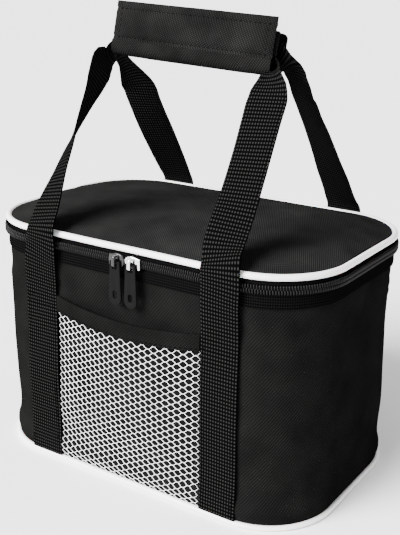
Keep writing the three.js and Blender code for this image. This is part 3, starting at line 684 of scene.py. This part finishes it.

# The lid's cloth takes the lighter copy of the twill, whose extra brightness is painted light.
bm = panel(LID_INSET, LID_Z, FABRIC, lid_drape)
lid = piece("lid_cloth", bm, lid_twill_painted_light, "polyester", "lid", ["lid_cover"])
bm = panel(LID_FOAM_INSET, LID_Z - GAP - FOAM, FOAM, lid_crown)
piece("lid_padding", bm, foam, "foam", "lid", ["lid_foam"])
bm = panel(LID_FOAM_INSET, LID_Z - GAP - FOAM - GAP - FILM, FILM, lid_crown)
lid_film = piece("lid_film", bm, film, "foil", "lid", ["lid_liner"])
bm = panel(BASE_INSET, base_low.z, base_high.z - base_low.z, level_panel)
base = piece("base_cloth", bm, plain_twill, "polyester", "bag_body", ["base_panel"])
bm = panel(BASE_INSET, base_foam_low.z, FOAM, level_panel)
piece("base_padding", bm, foam, "foam", "bag_body", ["base_foam"])

# %% [markdown]
# ## Inside the wall
# Behind the twill lie foam and a cup of metallised film. The cup's section runs up the wall, and
# below zero it turns and runs in across the floor, so that the cup is one piece without a seam. Film
# keeps every crease, so its relief is sharper than the cloth's.

# %% Foam and film
foam_low, foam_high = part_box("wall_foam")
cup_low, cup_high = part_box("foil_liner")
FOAM_OUT = foam_high.x - wall_high.x
CUP_OUT = cup_high.x - wall_high.x
CUP_FLOOR = cup_low.z + FILM / 2
cup_height = cup_high.z - CUP_FLOOR
floor_run = wall_high.y + CUP_OUT
FOAM_ROWS = 24
CUP_ROWS = 80
CREASE, CREASE_SIZE, CREASE_SHARE = 2.4 * MM, 16 * MM, 0.25
FLOOR_EASE = 10 * MM

foam_height = foam_high.z - foam_low.z
foam_middle = foam_low.z + foam_height / 2
bm = strip(FOAM, foam_height, 1, FOAM_ROWS)
sweep(bm, around, closed=True,
      put=lambda u, across, height: wall_point(u, foam_middle + height, FOAM_OUT - FOAM / 2 + across))
piece("wall_padding", bm, foam, "foam", "bag_body", ["wall_foam"])


def cup_point(u, across, height):
    run = height + (floor_run + cup_height) / 2 - floor_run
    point, outward = outline(u)
    crease = noise.noise((point + UP * run) / CREASE_SIZE)
    crease = min(0, abs(crease) - CREASE_SHARE) * CREASE
    if run >= 0:
        return wall_point(u, CUP_FLOOR + run, CUP_OUT - FILM / 2 + across + crease)
    inner = (point + outward * CUP_OUT) * (1 + run / floor_run)
    return inner + UP * (CUP_FLOOR - across - crease * ramp(-run, 0, FLOOR_EASE))


bm = sweep(strip(FILM, floor_run + cup_height, 1, CUP_ROWS), around, cup_point, closed=True)
cup = piece("film_cup", bm, film, "foil", "bag_body", ["foil_liner"])

# %% [markdown]
# Binding tape closes the raw edges of foam and film at the mouth and under the lid. At the mouth it
# hangs down inside and folds outwards over the top of the wall, so its section is an angle.

# %% Binding
TAPE = 1.0 * MM
MOUTH_ROWS = 8
LID_TAPE_ROWS = 4
mouth_low, mouth_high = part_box("mouth_binding")
lid_tape_low, lid_tape_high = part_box("lid_binding")
mouth_depth = mouth_high.z - mouth_low.z
mouth_in = CUP_OUT - FILM - GAP - TAPE

bm = strip(TAPE, mouth_depth, 1, MOUTH_ROWS)
lip = [e for e in bm.edges if e.is_boundary and all(v.co.x > 0 for v in e.verts)
       and min(v.co.y for v in e.verts) > mouth_depth * (0.5 - 1.5 / MOUTH_ROWS)]
made = bmesh.ops.extrude_edge_only(bm, edges=lip)["geom"]
fold = [part for part in made if isinstance(part, bmesh.types.BMVert)]
bmesh.ops.translate(bm, vec=(-mouth_in - TAPE, 0, 0), verts=fold)
for vert in fold + [vert for edge in lip for vert in edge.verts]:
    vert.co.y = max(vert.co.y, mouth_depth / 2 - TAPE)
sweep(bm, around, on_wall(mouth_in + TAPE / 2, mouth_low.z + mouth_depth / 2), closed=True)
piece("mouth_tape", bm, binding_tape, "tape", "bag_body", ["mouth_binding"], sharp=60)
lid_tape_width = LID_FOAM_INSET - GAP - LID_INSET
lid_tape_height = lid_tape_high.z - lid_tape_low.z
bm = strip(lid_tape_width, lid_tape_height, 1, LID_TAPE_ROWS)
lid_tape_out = -LID_INSET - lid_tape_width / 2
sweep(bm, around, on_wall(lid_tape_out, lid_tape_low.z + lid_tape_height / 2), closed=True)
piece("lid_tape", bm, binding_tape, "tape", "lid", ["lid_binding"])

# %% [markdown]
# ## The zip
# A coil zip is two tapes with a nylon filament sewn to each edge. Its loops stand side by side and
# reach a little past the middle, so that the two rows mesh. Each loop here is a small stretched
# sphere, because hundreds of them have to stay light. Their pitch is that of a common coil zip.

# %% Zip tapes and teeth
COIL_PITCH = 1.5 * MM
COIL_OVERLAP = 0.35 * MM  # how far a loop reaches past the middle
tape_low, tape_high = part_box("zip_tape_lower")
top_tape_low, top_tape_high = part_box("zip_tape_upper")
coil_low, coil_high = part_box("zip_coil_lower")
top_coil_low, top_coil_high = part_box("zip_coil_upper")
ZIP_Z = (coil_high.z + top_coil_low.z) / 2
ZIP_TAPE = 0.8 * MM
ZIP_TAPE_ROWS = 6
COIL_DEPTH = 2.0 * MM
LOOP_SHARE = 0.8  # of the pitch that a loop fills
COIL_OUT = coil_high.x - wall_high.x - COIL_DEPTH / 2


def tape_strip(name, low, high, body, node):
    height = high - low
    bm = strip(ZIP_TAPE, height, 1, ZIP_TAPE_ROWS)
    sweep(bm, spread(-ZIP_END, ZIP_END, ROUND_STEP), on_wall(GAP + ZIP_TAPE / 2, (low + high) / 2))
    return piece(name, bm, zip_tape, "tape", body, [node])


def teeth(name, far_z, direction, phase, body, node):
    """Loops from far_z to a little past the zip's middle."""
    length = abs(ZIP_Z - far_z) + COIL_OVERLAP
    bm = bmesh.new()
    for u in spread(-ZIP_END + COIL_PITCH, ZIP_END - COIL_PITCH, COIL_PITCH):
        point, outward = outline(u + phase)
        along = UP.cross(outward)
        centre = point + outward * COIL_OUT + UP * (far_z + direction * length / 2)
        turned = Matrix((along, outward, UP)).transposed().to_4x4()
        shape = Matrix.Diagonal((COIL_PITCH * LOOP_SHARE / 2, COIL_DEPTH / 2, length / 2, 1))
        bmesh.ops.create_uvsphere(bm, u_segments=6, v_segments=6, radius=1,
                                  matrix=Matrix.Translation(centre) @ turned @ shape)
    return piece(name, bm, nylon, "zip_coil", body, [node], sharp=180)


tape_strip("zip_tape_body", tape_low.z, tape_high.z, "bag_body", "zip_tape_lower")
tape_strip("zip_tape_lid", top_tape_low.z, top_tape_high.z, "lid", "zip_tape_upper")
teeth("zip_teeth_body", coil_low.z, 1, 0, "bag_body", "zip_coil_lower")
teeth("zip_teeth_lid", top_coil_high.z, -1, COIL_PITCH / 2, "lid", "zip_coil_upper")

# %% [markdown]
# ## Copies of the solids
# The sliders, the pulls, the hinge strip and the hook and loop tapes have their true shape as solids,
# but with sharp edges. A copy is welded, its flat faces are joined again, and its edges are rounded
# by a bevel.

# %% Softened copies
BEVEL_SEGMENTS = 2
WELD = 0.01 * MM
FLAT_ANGLE = math.radians(1)
HARD_ANGLE = math.radians(35)
SLIDER_EDGE = 0.35 * MM
PULL_EDGE = 0.3 * MM


def softened(node, radius):
    """Copy of a solid with its hard edges rounded."""
    bm = bmesh.new()
    bm.from_mesh(frame["nodes"][node].data)
    for layer in list(bm.loops.layers.uv.values()):
        bm.loops.layers.uv.remove(layer)
    bmesh.ops.remove_doubles(bm, verts=bm.verts, dist=WELD)
    bmesh.ops.dissolve_limit(bm, angle_limit=FLAT_ANGLE, verts=bm.verts, edges=bm.edges)
    hard = [edge for edge in bm.edges if edge.is_manifold and edge.calc_face_angle() > HARD_ANGLE]
    bmesh.ops.bevel(bm, geom=hard, offset=radius, segments=BEVEL_SEGMENTS, profile=0.5,
                    affect="EDGES", material=-1)
    bmesh.ops.remove_doubles(bm, verts=bm.verts, dist=MERGE)
    return bm


for side, metal, slot in (("left", enamel, "black_metal"), ("right", chrome, "chrome")):
    bm = softened(f"slider_{side}", SLIDER_EDGE)
    piece(f"zip_slider_{side}", bm, metal, slot, f"{side}_slider", [f"slider_{side}"], sharp=60)
    bm = softened(f"pull_tab_{side}", PULL_EDGE)
    piece(f"zip_pull_{side}", bm, acetal, "moulding", f"{side}_pull", [f"pull_tab_{side}"], sharp=60)

# %% [markdown]
# Behind, a strip of twill joins the lid to the wall. It bends when the lid opens, so it is cut into
# rows first and then blended from the body to the lid.

# %% Rear hinge
def slice_up(bm, start, direction, length, count):
    """Cuts a mesh across a direction, so that it has points to bend with."""
    for k in range(1, count):
        everything = bm.verts[:] + bm.edges[:] + bm.faces[:]
        bmesh.ops.bisect_plane(bm, geom=everything, plane_co=start + direction * (length * k / count),
                               plane_no=direction)


hinge_low, hinge_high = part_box("lid_hinge_strip")
hinge_z = joints["lid_open"]["pos_m"][2]
HINGE_FOLD = 3.5 * MM  # half the height that bends
HINGE_EDGE = 0.25 * MM
HINGE_ROWS = 16
bm = softened("lid_hinge_strip", HINGE_EDGE)
slice_up(bm, hinge_low, UP, hinge_high.z - hinge_low.z, HINGE_ROWS)
lay_uv(bm, lambda co: (co.x, co.z))
hinge = piece("rear_hinge_cloth", bm, wall_twill, "polyester", None, ["lid_hinge_strip"])
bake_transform(hinge, "bag_body", "lid", start=(0, hinge_high.y, hinge_z - HINGE_FOLD),
         end=(0, hinge_high.y, hinge_z + HINGE_FOLD))

# %% [markdown]
# ## The net pocket
# The pocket is a knitted net, pulled sideways. One long cell with six corners is repeated in staggered
# columns and the shared edges are merged. The flat cells are bowed to the pocket's shape, each is inset
# and its middle is deleted, which leaves strands of even width. A solidify step gives them thickness.

# %% Net
NET_COLUMNS = 27
NET_ROWS = 26
NET_STRAND = 0.25 * MM
NET_POINT = 0.8  # half a cell's length, as a share of the columns' spacing
NET_THICKNESS = 0.2 * MM
POCKET_BOW = 5 * MM
POCKET_BOW_HEIGHT = 45 * MM
POCKET_SAG = 3.5 * MM
POCKET_TOP = 116 * MM
POCKET_BAND_HEIGHT = 10.5 * MM
POCKET_BAND = 1.8 * MM
_, pocket_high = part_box("pocket_mesh")
POCKET_HALF = pocket_high.x


def pocket_edge(x):
    return POCKET_TOP - POCKET_SAG * (1 - (x / POCKET_HALF) ** 2)


def pocket_out(x, z):
    """How far the pocket stands off the wall's face."""
    rise = math.sin(clamp((z - WALL_BASE) / POCKET_BOW_HEIGHT, 0, 1) * math.pi / 2)
    return GAP + POCKET_BOW * (1 - (x / POCKET_HALF) ** 2) * rise


def net_cells():
    """Flat net over a square of side 2, of long cells with points at their left and right."""
    bm = bmesh.new()
    column = 2 / (NET_COLUMNS - 1 + 2 * NET_POINT)
    row = 2 / (NET_ROWS - 0.5)
    stretch = Matrix.Diagonal((column * NET_POINT, row / math.sqrt(3), 1, 1))
    shape = stretch @ Matrix.Rotation(math.pi / 2, 4, "Z")
    for i in range(NET_COLUMNS):
        for j in range(NET_ROWS - i % 2):
            place = Vector((-1 + column * (i + NET_POINT), -1 + row * (j + (i % 2) / 2), 0))
            cell = bmesh.ops.create_circle(bm, cap_ends=True, segments=6, radius=1,
                                           matrix=Matrix.Translation(place) @ shape)["verts"]
            shoulders = [vert for vert in cell if abs(vert.co.y - place.y) > row / 4]
            for vert in shoulders:
                vert.co.x = place.x + math.copysign(column * (1 - NET_POINT), vert.co.x - place.x)
    bmesh.ops.remove_doubles(bm, verts=bm.verts, dist=row / 50)
    return bm


def net_place(co):
    x = co.x * POCKET_HALF
    top = pocket_edge(x) - POCKET_BAND_HEIGHT / 2
    z = WALL_BASE + (top - WALL_BASE) * (co.y + 1) / 2
    return wall_point(x, z, pocket_out(x, z) + NET_THICKNESS)


bm = net_cells()
for vert in bm.verts:
    vert.co.y = clamp(vert.co.y, -1, 1)
    vert.co = net_place(vert.co)
cells = bm.faces[:]
bmesh.ops.recalc_face_normals(bm, faces=cells)
bmesh.ops.inset_individual(bm, faces=cells, thickness=NET_STRAND / 2, use_even_offset=True)
bmesh.ops.delete(bm, geom=cells, context="FACES")
bmesh.ops.solidify(bm, geom=bm.faces[:], thickness=NET_THICKNESS)
net = piece("pocket_net", bm, net_yarn, "mesh", "bag_body", ["pocket_mesh"], sharp=60)

# %% [markdown]
# A folded band of twill hems the top of the net. It is a flat section drawn across the pocket, with
# its upper and lower edges rounded off.

# %% Pocket band
BAND_STEP = 3 * MM
BAND_ROWS = 12
BAND_ROUNDING = 0.35


def band_point(x, across, height):
    z = pocket_edge(x) - POCKET_BAND_HEIGHT / 2 + height
    round_off = BAND_ROUNDING * (abs(height) / (POCKET_BAND_HEIGHT / 2)) ** 6
    return wall_point(x, z, pocket_out(x, z) + POCKET_BAND / 2 + across * (1 - round_off))


bm = strip(POCKET_BAND, POCKET_BAND_HEIGHT, 2, BAND_ROWS)
sweep(bm, spread(-POCKET_HALF, POCKET_HALF, BAND_STEP), band_point)
band = piece("pocket_band", bm, plain_twill, "polyester", "bag_body", ["pocket_binding"])

# %% [markdown]
# ## The wrap
# A sewn sleeve holds the two handles together. Its cover rides with the rear handle: a rolled front
# edge, the underside, the rear and the top. Its flap is sewn above the roll, covers the front and
# closes with hook and loop tape. The sleeve's frame comes from the flap's hinge, which runs along it.

# %% Frame of the wrap
WRAP_LEAN = math.radians(11.6)
WRAP_FABRIC = 1.4 * MM
WRAP_HALF = 57.5 * MM
WRAP_HEIGHT = 32.9 * MM
WRAP_FRONT = -8.0 * MM
FLAP_FOOT = 9.3 * MM  # height of the flap's hinge
across_wrap = Vector(joints["flap_open"]["axis"]).normalized()
up_wrap = Matrix.Rotation(-WRAP_LEAN, 3, across_wrap) @ Vector((-across_wrap.z, 0, across_wrap.x))
turn_wrap = Matrix((across_wrap, up_wrap.cross(across_wrap), up_wrap)).transposed()
hinge_in_wrap = Vector((0, WRAP_FRONT, FLAP_FOOT))
wrap_origin = Vector(joints["flap_open"]["pos_m"]) - turn_wrap @ hinge_in_wrap
wrap_frame = Matrix.Translation(wrap_origin) @ turn_wrap.to_4x4()
print("wrap at", [round(c / MM, 1) for c in wrap_origin], "mm")

# %% [markdown]
# The flap is two plies hemmed together. It swells a little in the middle, and the rows of stitches
# pull it in, so that its hems stand out. It is a flat section drawn along the sleeve.

# %% Flap
FLAP_HEM = 4.6 * MM  # hem and its row of stitches, from the flap's edge
FLAP_ROW = 1.6 * MM  # lower row, above the roll
STITCH_DIMPLE, DIMPLE_REACH = 0.7 * MM, 1.1 * MM
FLAP_SWELL = 1.3 * MM
FLAP_RIPPLE, RIPPLE_LONG, RIPPLE_HIGH = 0.45 * MM, 24 * MM, 15 * MM
FLAP_HELD = 5 * MM  # above the roll, where the seam holds it flat
EDGE_ROUNDING, EDGE_REACH = 0.5 * MM, 0.8 * MM
FLAP_ROWS = 40
FLAP_STEP = 1.2 * MM
flap_height = WRAP_HEIGHT - FLAP_FOOT
flap_side = WRAP_HALF - FLAP_HEM
flap_top = flap_height - FLAP_HEM


def flap_relief(x, height):
    """How far the flap's front stands out, height being measured from its foot."""
    swell = FLAP_SWELL * (1 - (x / WRAP_HALF) ** 4) * math.sin(math.pi * clamp(height / flap_height, 0, 1))
    ripple = noise.noise(Vector((x / RIPPLE_LONG, height / RIPPLE_HIGH, 3.0))) * FLAP_RIPPLE
    sideways = bell(abs(x), flap_side, DIMPLE_REACH)
    level = max(bell(height, FLAP_ROW, DIMPLE_REACH), bell(height, flap_top, DIMPLE_REACH))
    return (swell + ripple) * ramp(height, 0, FLAP_HELD) - STITCH_DIMPLE * max(sideways, level)


def flap_point(x, height, depth):
    """Place on the flap: depth 0 is its front face."""
    rounding = EDGE_ROUNDING * (bell(height, flap_height, EDGE_REACH) + bell(abs(x), WRAP_HALF, EDGE_REACH))
    local = Vector((x, WRAP_FRONT + depth - flap_relief(x, height), FLAP_FOOT + height))
    local.y += rounding * (1 - 2 * depth / WRAP_FABRIC)
    return wrap_frame @ local


def put_flap(x, across, height):
    return flap_point(x, height + (flap_height - GAP) / 2, across + WRAP_FABRIC / 2)


bm = strip(WRAP_FABRIC, flap_height + GAP, 2, FLAP_ROWS)
sweep(bm, spread(-WRAP_HALF, WRAP_HALF, FLAP_STEP), put_flap)
flap = piece("wrap_flap_cloth", bm, wrap_twill, "polyester", "flap", ["wrap_flap"])

# %% [markdown]
# The cover's section is walked like a path: straight sides with a quarter turn between them, from the
# roll's edge, under, up the rear, over the top and down to the lip that carries the loop tape.
# Towards its ends the rear is drawn in round the gathered webbing.

# %% Cover and hook and loop tape
WRAP_DEPTH = 16 * MM
WRAP_CORNER = 5 * MM
WRAP_MIDDLE = 16.6 * MM
ROLL_HEIGHT = FLAP_FOOT - GAP
LIP_FRONT = -3.7 * MM
LIP_HEIGHT = 22 * MM
COVER_SWELL = 1.2 * MM
COVER_WRINKLE, WRINKLE_LONG, WRINKLE_HIGH = 0.5 * MM, 9 * MM, 14 * MM
COVER_ROWS = 60
COVER_STEP = 2 * MM
GATHER, GATHER_START = 0.5, 36 * MM  # from here to its ends the cover is gathered
TAPE_EDGE = 0.2 * MM
corners = 2 * WRAP_CORNER
COVER_SIDES = (ROLL_HEIGHT - WRAP_CORNER, WRAP_DEPTH - corners, WRAP_HEIGHT - corners,
               WRAP_DEPTH / 2 - LIP_FRONT - corners, LIP_HEIGHT - WRAP_CORNER)
COVER_CUT = sum(COVER_SIDES) + 4 * WRAP_CORNER * math.pi / 2


def cover_section(run):
    """Place on the cover's section (y, z) and its outward direction, at a distance from the roll's edge."""
    place, heading = Vector((WRAP_FRONT, ROLL_HEIGHT)), Vector((0, -1))
    for side in COVER_SIDES:
        place = place + heading * min(run, side)
        run = max(run - side, 0)
        angle = min(run / WRAP_CORNER, math.pi / 2)
        left = heading.orthogonal()
        place = place + (heading * math.sin(angle) + left * (1 - math.cos(angle))) * WRAP_CORNER
        heading = heading * math.cos(angle) + left * math.sin(angle)
        run -= angle * WRAP_CORNER
    return place, -heading.orthogonal()


def cover_point(x, across, height):
    """Place on the cover: the rear swells in the middle and is gathered at the ends."""
    place, outward = cover_section(height + COVER_CUT / 2)
    y, z = place + outward * (across - WRAP_FABRIC / 2)
    end = ramp(abs(x), GATHER_START, WRAP_HALF)
    behind = ramp(y, -7 * MM, -1 * MM) if z > WRAP_MIDDLE else ramp(y, 0, 7 * MM)
    z = WRAP_MIDDLE + (z - WRAP_MIDDLE) * (1 - GATHER * end * behind)
    wrinkle = noise.noise(Vector((x / WRINKLE_LONG, y / WRINKLE_HIGH, z / WRINKLE_HIGH))) * COVER_WRINKLE
    y += COVER_SWELL * ramp(y, 0, 8 * MM) * (1 - end) + wrinkle * ramp(y, 2 * MM, 6 * MM)
    return wrap_frame @ Vector((x, y, z))


bm = strip(WRAP_FABRIC, COVER_CUT, 1, COVER_ROWS)
sweep(bm, spread(-WRAP_HALF, WRAP_HALF, COVER_STEP), cover_point)
cover = piece("wrap_cover_cloth", bm, wrap_twill, "polyester", "rear_handle", ["wrap_cover"])
for node, pile, body in (("wrap_hook_tape", hook_pile, "flap"), ("wrap_loop_tape", loop_pile, "rear_handle")):
    piece(node + "_pile", softened(node, TAPE_EDGE), pile, "tape", body, [node])

# %% [markdown]
# ## The handles
# Each handle is one length of webbing: up the wall, over the rim, up to the wrap, through it, and
# down again. Its course is a list of stations: place, turn about its own run, and width, which falls
# where the webbing is gathered into the sleeve. The front left leg makes a half turn. A smooth curve
# runs through the stations.

# %% Webbing along stations
WEBBING_WIDTH = 25 * MM
WEBBING_THICKNESS = 1.6 * MM
WEBBING_STEP = 3.5 * MM
WEBBING_CURL = 0.25 * WEBBING_WIDTH
WEBBING_COLUMNS = 12
SELVEDGE = 0.5  # thickness of the webbing's edges, as a share of its own
SEWN_OUT = GAP + WEBBING_THICKNESS / 2
STRAP_X = 66.5 * MM
BEND_START = 115 * MM  # below this the webbing is sewn to the wall
BEND_END = 135 * MM


def flowing(rows, step):
    """Rows on a smooth curve through the given rows, about a step apart."""
    knots = [Vector(row) for row in rows]
    gaps = [(Vector(b[:3]) - Vector(a[:3])).length for a, b in zip(knots, knots[1:])]
    slopes = [(knots[1] - knots[0]) / gaps[0]]
    for i in range(1, len(gaps)):
        before = (knots[i] - knots[i - 1]) / gaps[i - 1]
        after = (knots[i + 1] - knots[i]) / gaps[i]
        slopes.append((before * gaps[i] + after * gaps[i - 1]) / (gaps[i] + gaps[i - 1]))
    slopes.append((knots[-1] - knots[-2]) / gaps[-1])
    made = []
    for i, gap in enumerate(gaps):
        count = max(1, round(gap / step))
        for k in range(count):
            t = k / count
            made.append(knots[i] * (1 + 2 * t) * (1 - t) ** 2 + slopes[i] * gap * t * (1 - t) ** 2
                        + knots[i + 1] * t * t * (3 - 2 * t) - slopes[i + 1] * gap * t * t * (1 - t))
    return made + [knots[-1]]


def strap(name, rows, outward, body, nodes):
    """Webbing through rows of x, y, z, turn in degrees and width, all lengths in metres."""
    course = flowing(rows, WEBBING_STEP)
    centres = [Vector(row[:3]) for row in course]
    stations = {}
    travel = 0
    for k, row in enumerate(course):
        along = (centres[min(k + 1, len(course) - 1)] - centres[max(k - 1, 0)]).normalized()
        facing = (outward - along * outward.dot(along)).normalized()
        facing = Matrix.Rotation(math.radians(row[3]), 3, along) @ facing
        travel += (centres[k] - centres[max(k - 1, 0)]).length
        stations[travel] = (centres[k], along.cross(facing), facing, row[4] / WEBBING_WIDTH)

    def put(place, across, height):
        centre, sideways, facing, gather = stations[place]
        curl = WEBBING_CURL * math.sqrt(max(0, 1 - gather ** 2)) * (2 * across / WEBBING_WIDTH) ** 2
        return centre + sideways * across * gather + facing * (height - curl / 2)
    bm = strip(WEBBING_WIDTH, WEBBING_THICKNESS, WEBBING_COLUMNS, 2)
    edge = [v for v in bm.verts if abs(v.co.x) > 0.49 * WEBBING_WIDTH]
    bmesh.ops.scale(bm, vec=(1, SELVEDGE, 1), verts=edge)
    sweep(bm, list(stations), put)
    made = piece(name, bm, webbing, "webbing", None, nodes, sharp=70)
    y = outward.y * (wall_high.y + SEWN_OUT)
    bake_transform(made, "bag_body", body, start=(0, y, BEND_START), end=(0, y, BEND_END))
    print(f"{name}: {travel / MM:.0f} mm of webbing")
    return made


print("webbing", WEBBING_WIDTH / MM, "mm wide")

# %% [markdown]
# The stations below are in millimetres. The sewn part is worked out from the wall. The free legs were
# first listed, and a least squares fit then moved, turned and narrowed them until their edges met the
# edges of the straps in the picture. The stations in the sleeve are places in the wrap's frame.

# %% Handles
FULL = 25
FREE_LEGS = {
    "front_left": [
        (-64.5, -78.2, 138, 0, FULL), (-62.2, -79.7, 150, -6, FULL), (-62.2, -79.6, 159, -9, FULL),
        (-63, -74.6, 166, -12, FULL), (-64, -58.6, 190, -32, FULL), (-64.1, -47, 207, -43, FULL),
        (-64.2, -41, 215.5, -52, FULL), (-63.9, -34.5, 225, -61, FULL), (-63.5, -29, 233, -67, FULL),
        (-63.4, -23.4, 241, -74, FULL), (-64.2, -18.5, 248, -76, 24), (-65.9, -15, 252.5, -79, 20),
    ],
    "front_right": [
        (66.8, -78.2, 138, 0, FULL), (67.8, -79.7, 150, 0, FULL), (67.5, -79.6, 159, 1, FULL),
        (65.6, -74.6, 166, 4, FULL), (64.8, -58.6, 190, 1, FULL), (63.3, -41.6, 215, 0, FULL),
        (61.8, -30, 232, 2, FULL), (61.1, -23, 242.5, 1, FULL), (60.6, -18.4, 249, 2, 20.2),
        (59.3, -15, 254, 4, 12.5),
    ],
    "rear_left": [
        (-67.5, 78.2, 138, 0, FULL), (-70, 79.7, 150, 2, FULL), (-70.1, 79.6, 159, 3, FULL),
        (-69.7, 74, 167, 7, FULL), (-68.7, 60.6, 185, 14, FULL), (-67.3, 48, 201, 17, FULL),
        (-66.2, 38, 214, 15, FULL), (-64.9, 29, 226, 14, FULL), (-63.7, 22, 236, 16, 24),
        (-64, 15, 245, 23, 16), (-64.6, 10, 252, 25, 10),
    ],
    "rear_right": [
        (66, 78.2, 138, 0, FULL), (65.2, 79.7, 150, 0, FULL), (65.5, 79.6, 159, -5, FULL),
        (65, 74, 167, -11, FULL), (64.4, 60.6, 185, -14, FULL), (63.9, 46, 204, -22, FULL),
        (62.9, 36, 218, -26, FULL), (61.7, 27, 230, -29, FULL), (61, 20, 240, -27, FULL),
        (61.5, 14, 248.5, -25, 23), (60.6, 9, 256, -24, 19),
    ],
}
GRIP_Y = {"front": -0.9, "rear": 5.2}
GRIP_Z = 16.6
SEWN_HEIGHTS = (WALL_BASE, 30 * MM, 60 * MM, 90 * MM, BEND_START)


def metres(rows):
    return [(x * MM, y * MM, z * MM, turned, width * MM) for x, y, z, turned, width in rows]


def sewn_rows(side, sign, base_turn):
    """Stations up the wall, from the base seam to where the webbing comes free."""
    rows = []
    u = side * STRAP_X if sign < 0 else side * (GIRTH / 2 - STRAP_X)
    for z in SEWN_HEIGHTS:
        place = wall_point(u, z, SEWN_OUT)
        rows.append((*place, base_turn, WEBBING_WIDTH))
    return rows


def grip_rows(face, ends):
    """Stations through the wrap: x, height and width in millimetres in its own frame, and the turn."""
    rows = []
    for x, z, turned, width in ends:
        place = wrap_frame @ (Vector((x, GRIP_Y[face], z)) * MM)
        rows.append((*place, turned, width * MM))
    return rows


THROUGH_WRAP = {
    "front": [(-63.5, 0.6, -125, 12), (-60, 3.2, -165, 9.5), (-57, 5, -180, 9.5), (-44, 11.5, -180, 16),
              (-28, GRIP_Z, -180, FULL), (-14, GRIP_Z, -180, FULL), (14, GRIP_Z, -180, FULL),
              (28, GRIP_Z, -180, FULL), (44, 11.5, -180, 16), (54, 8, -180, 10), (58.5, 5.4, -180, 10)],
    "rear": [(-60.5, 6, 0, 10), (-57, 7, 0, 10), (-44, 11.5, 0, 17), (-28, GRIP_Z, 0, FULL),
             (-14, GRIP_Z, 0, FULL), (14, GRIP_Z, 0, FULL), (28, GRIP_Z, 0, FULL), (48, GRIP_Z, 0, 20),
             (56, 12, 5, 16), (60, 9, 12, 16)],
}


def handle(face, sign):
    half_turn = THROUGH_WRAP[face][-1][2] if face == "front" else 0
    outward = Vector((0, sign, 0))
    right_leg = metres(FREE_LEGS[f"{face}_right"])
    down = [(x, y, z, half_turn - turned, width) for x, y, z, turned, width in right_leg]
    rows = (sewn_rows(-1, sign, 0) + metres(FREE_LEGS[f"{face}_left"]) + grip_rows(face, THROUGH_WRAP[face])
            + down[::-1] + sewn_rows(1, sign, half_turn)[::-1])
    nodes = [f"{face}_strap_{part}" for part in ("left_run", "right_run", "left_leg", "right_leg", "grip")]
    return strap(f"{face}_handle_webbing", rows, outward, f"{face}_handle", nodes)


handle("front", -1)
handle("rear", 1)

# %% [markdown]
# ## Stitching
# Rows of stitches hold the layers. A stitch is a short bead of thread, laid along its row and sunk
# halfway into the cloth. A row is given by a function of distance that returns a place and the
# direction that the cloth faces there.

# %% Stitching
STITCH_PITCH = 3.2 * MM
STITCH_LENGTH = 2.3 * MM
THREAD = 0.45 * MM
STRAP_SEAM = 10.3 * MM  # from a strap's middle to its rows of stitches
STRAP_CROSS = 10 * MM  # half the length of the rows across it
CROSS_ROWS = (1 * MM, 7 * MM)  # below the top of the sewn part
SEAM_END = 3 * MM
ZIP_SEAM = 2 * MM  # above the lower edge of the zip's tape
ZIP_MARGIN = 4 * MM
BAND_SEAM = 1.6 * MM  # above the lower edge of the pocket's band
BAND_MARGIN = 2 * MM


def stitch_row(bm, start, end, place):
    """Stitches along a row; place(distance) gives a point on the cloth and the way it faces."""
    for s in spread(start, end, STITCH_PITCH):
        point, facing = place(s)
        ahead, _ = place(s + STITCH_LENGTH / 4)
        along = (ahead - point).normalized()
        turned = Matrix((along, facing.cross(along), facing)).transposed().to_4x4()
        shape = Matrix.Diagonal((STITCH_LENGTH / 2, THREAD / 2, THREAD / 2, 1))
        bmesh.ops.create_uvsphere(bm, u_segments=6, v_segments=4, radius=1,
                                  matrix=Matrix.Translation(point) @ turned @ shape)


def wall_row(z, out):
    return lambda u: (wall_point(u, z, out), outline(u)[1])


def tape_row(u):
    point, outward = outline(u)
    return point + outward * (GAP + ZIP_TAPE) + UP * (tape_low.z + ZIP_SEAM), outward


def band_row(x):
    return band_point(x, POCKET_BAND / 2, BAND_SEAM - POCKET_BAND_HEIGHT / 2), Vector((0, -1, 0))


bm = bmesh.new()
strap_face = GAP + WEBBING_THICKNESS
for front in (-STRAP_X, STRAP_X):
    for centre in (front, math.copysign(GIRTH / 2, front) - front):
        for u in (centre - STRAP_SEAM, centre + STRAP_SEAM):
            stitch_row(bm, WALL_BASE + SEAM_END, BEND_START - SEAM_END,
                       lambda z, u=u: (wall_point(u, z, strap_face), outline(u)[1]))
        for drop in CROSS_ROWS:
            row = wall_row(BEND_START - drop, strap_face)
            stitch_row(bm, centre - STRAP_CROSS, centre + STRAP_CROSS, row)
stitch_row(bm, -ZIP_END + ZIP_MARGIN, ZIP_END - ZIP_MARGIN, tape_row)
stitch_row(bm, -POCKET_HALF + BAND_MARGIN, POCKET_HALF - BAND_MARGIN, band_row)
piece("body_stitching", bm, thread, "webbing", "bag_body", sharp=180)

bm = bmesh.new()
facing_front = turn_wrap @ Vector((0, -1, 0))
for height in (FLAP_ROW, flap_top):
    stitch_row(bm, -flap_side, flap_side, lambda x, height=height: (flap_point(x, height, 0), facing_front))
for x in (-flap_side, flap_side):
    stitch_row(bm, FLAP_ROW, flap_top, lambda height, x=x: (flap_point(x, height, 0), facing_front))
piece("flap_stitching", bm, thread, "webbing", "flap", sharp=180)

# %% [markdown]
# ## Sizes
# The boxes of the solids and of the dressed bag are printed, to show that the looks kept the size.

# %% Sizes and finish
visual_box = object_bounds()
for label, (low, high) in (("solids", cad_box), ("dressed", visual_box)):
    print(label, [round((b - a) / MM, 1) for a, b in zip(low, high)], "mm")
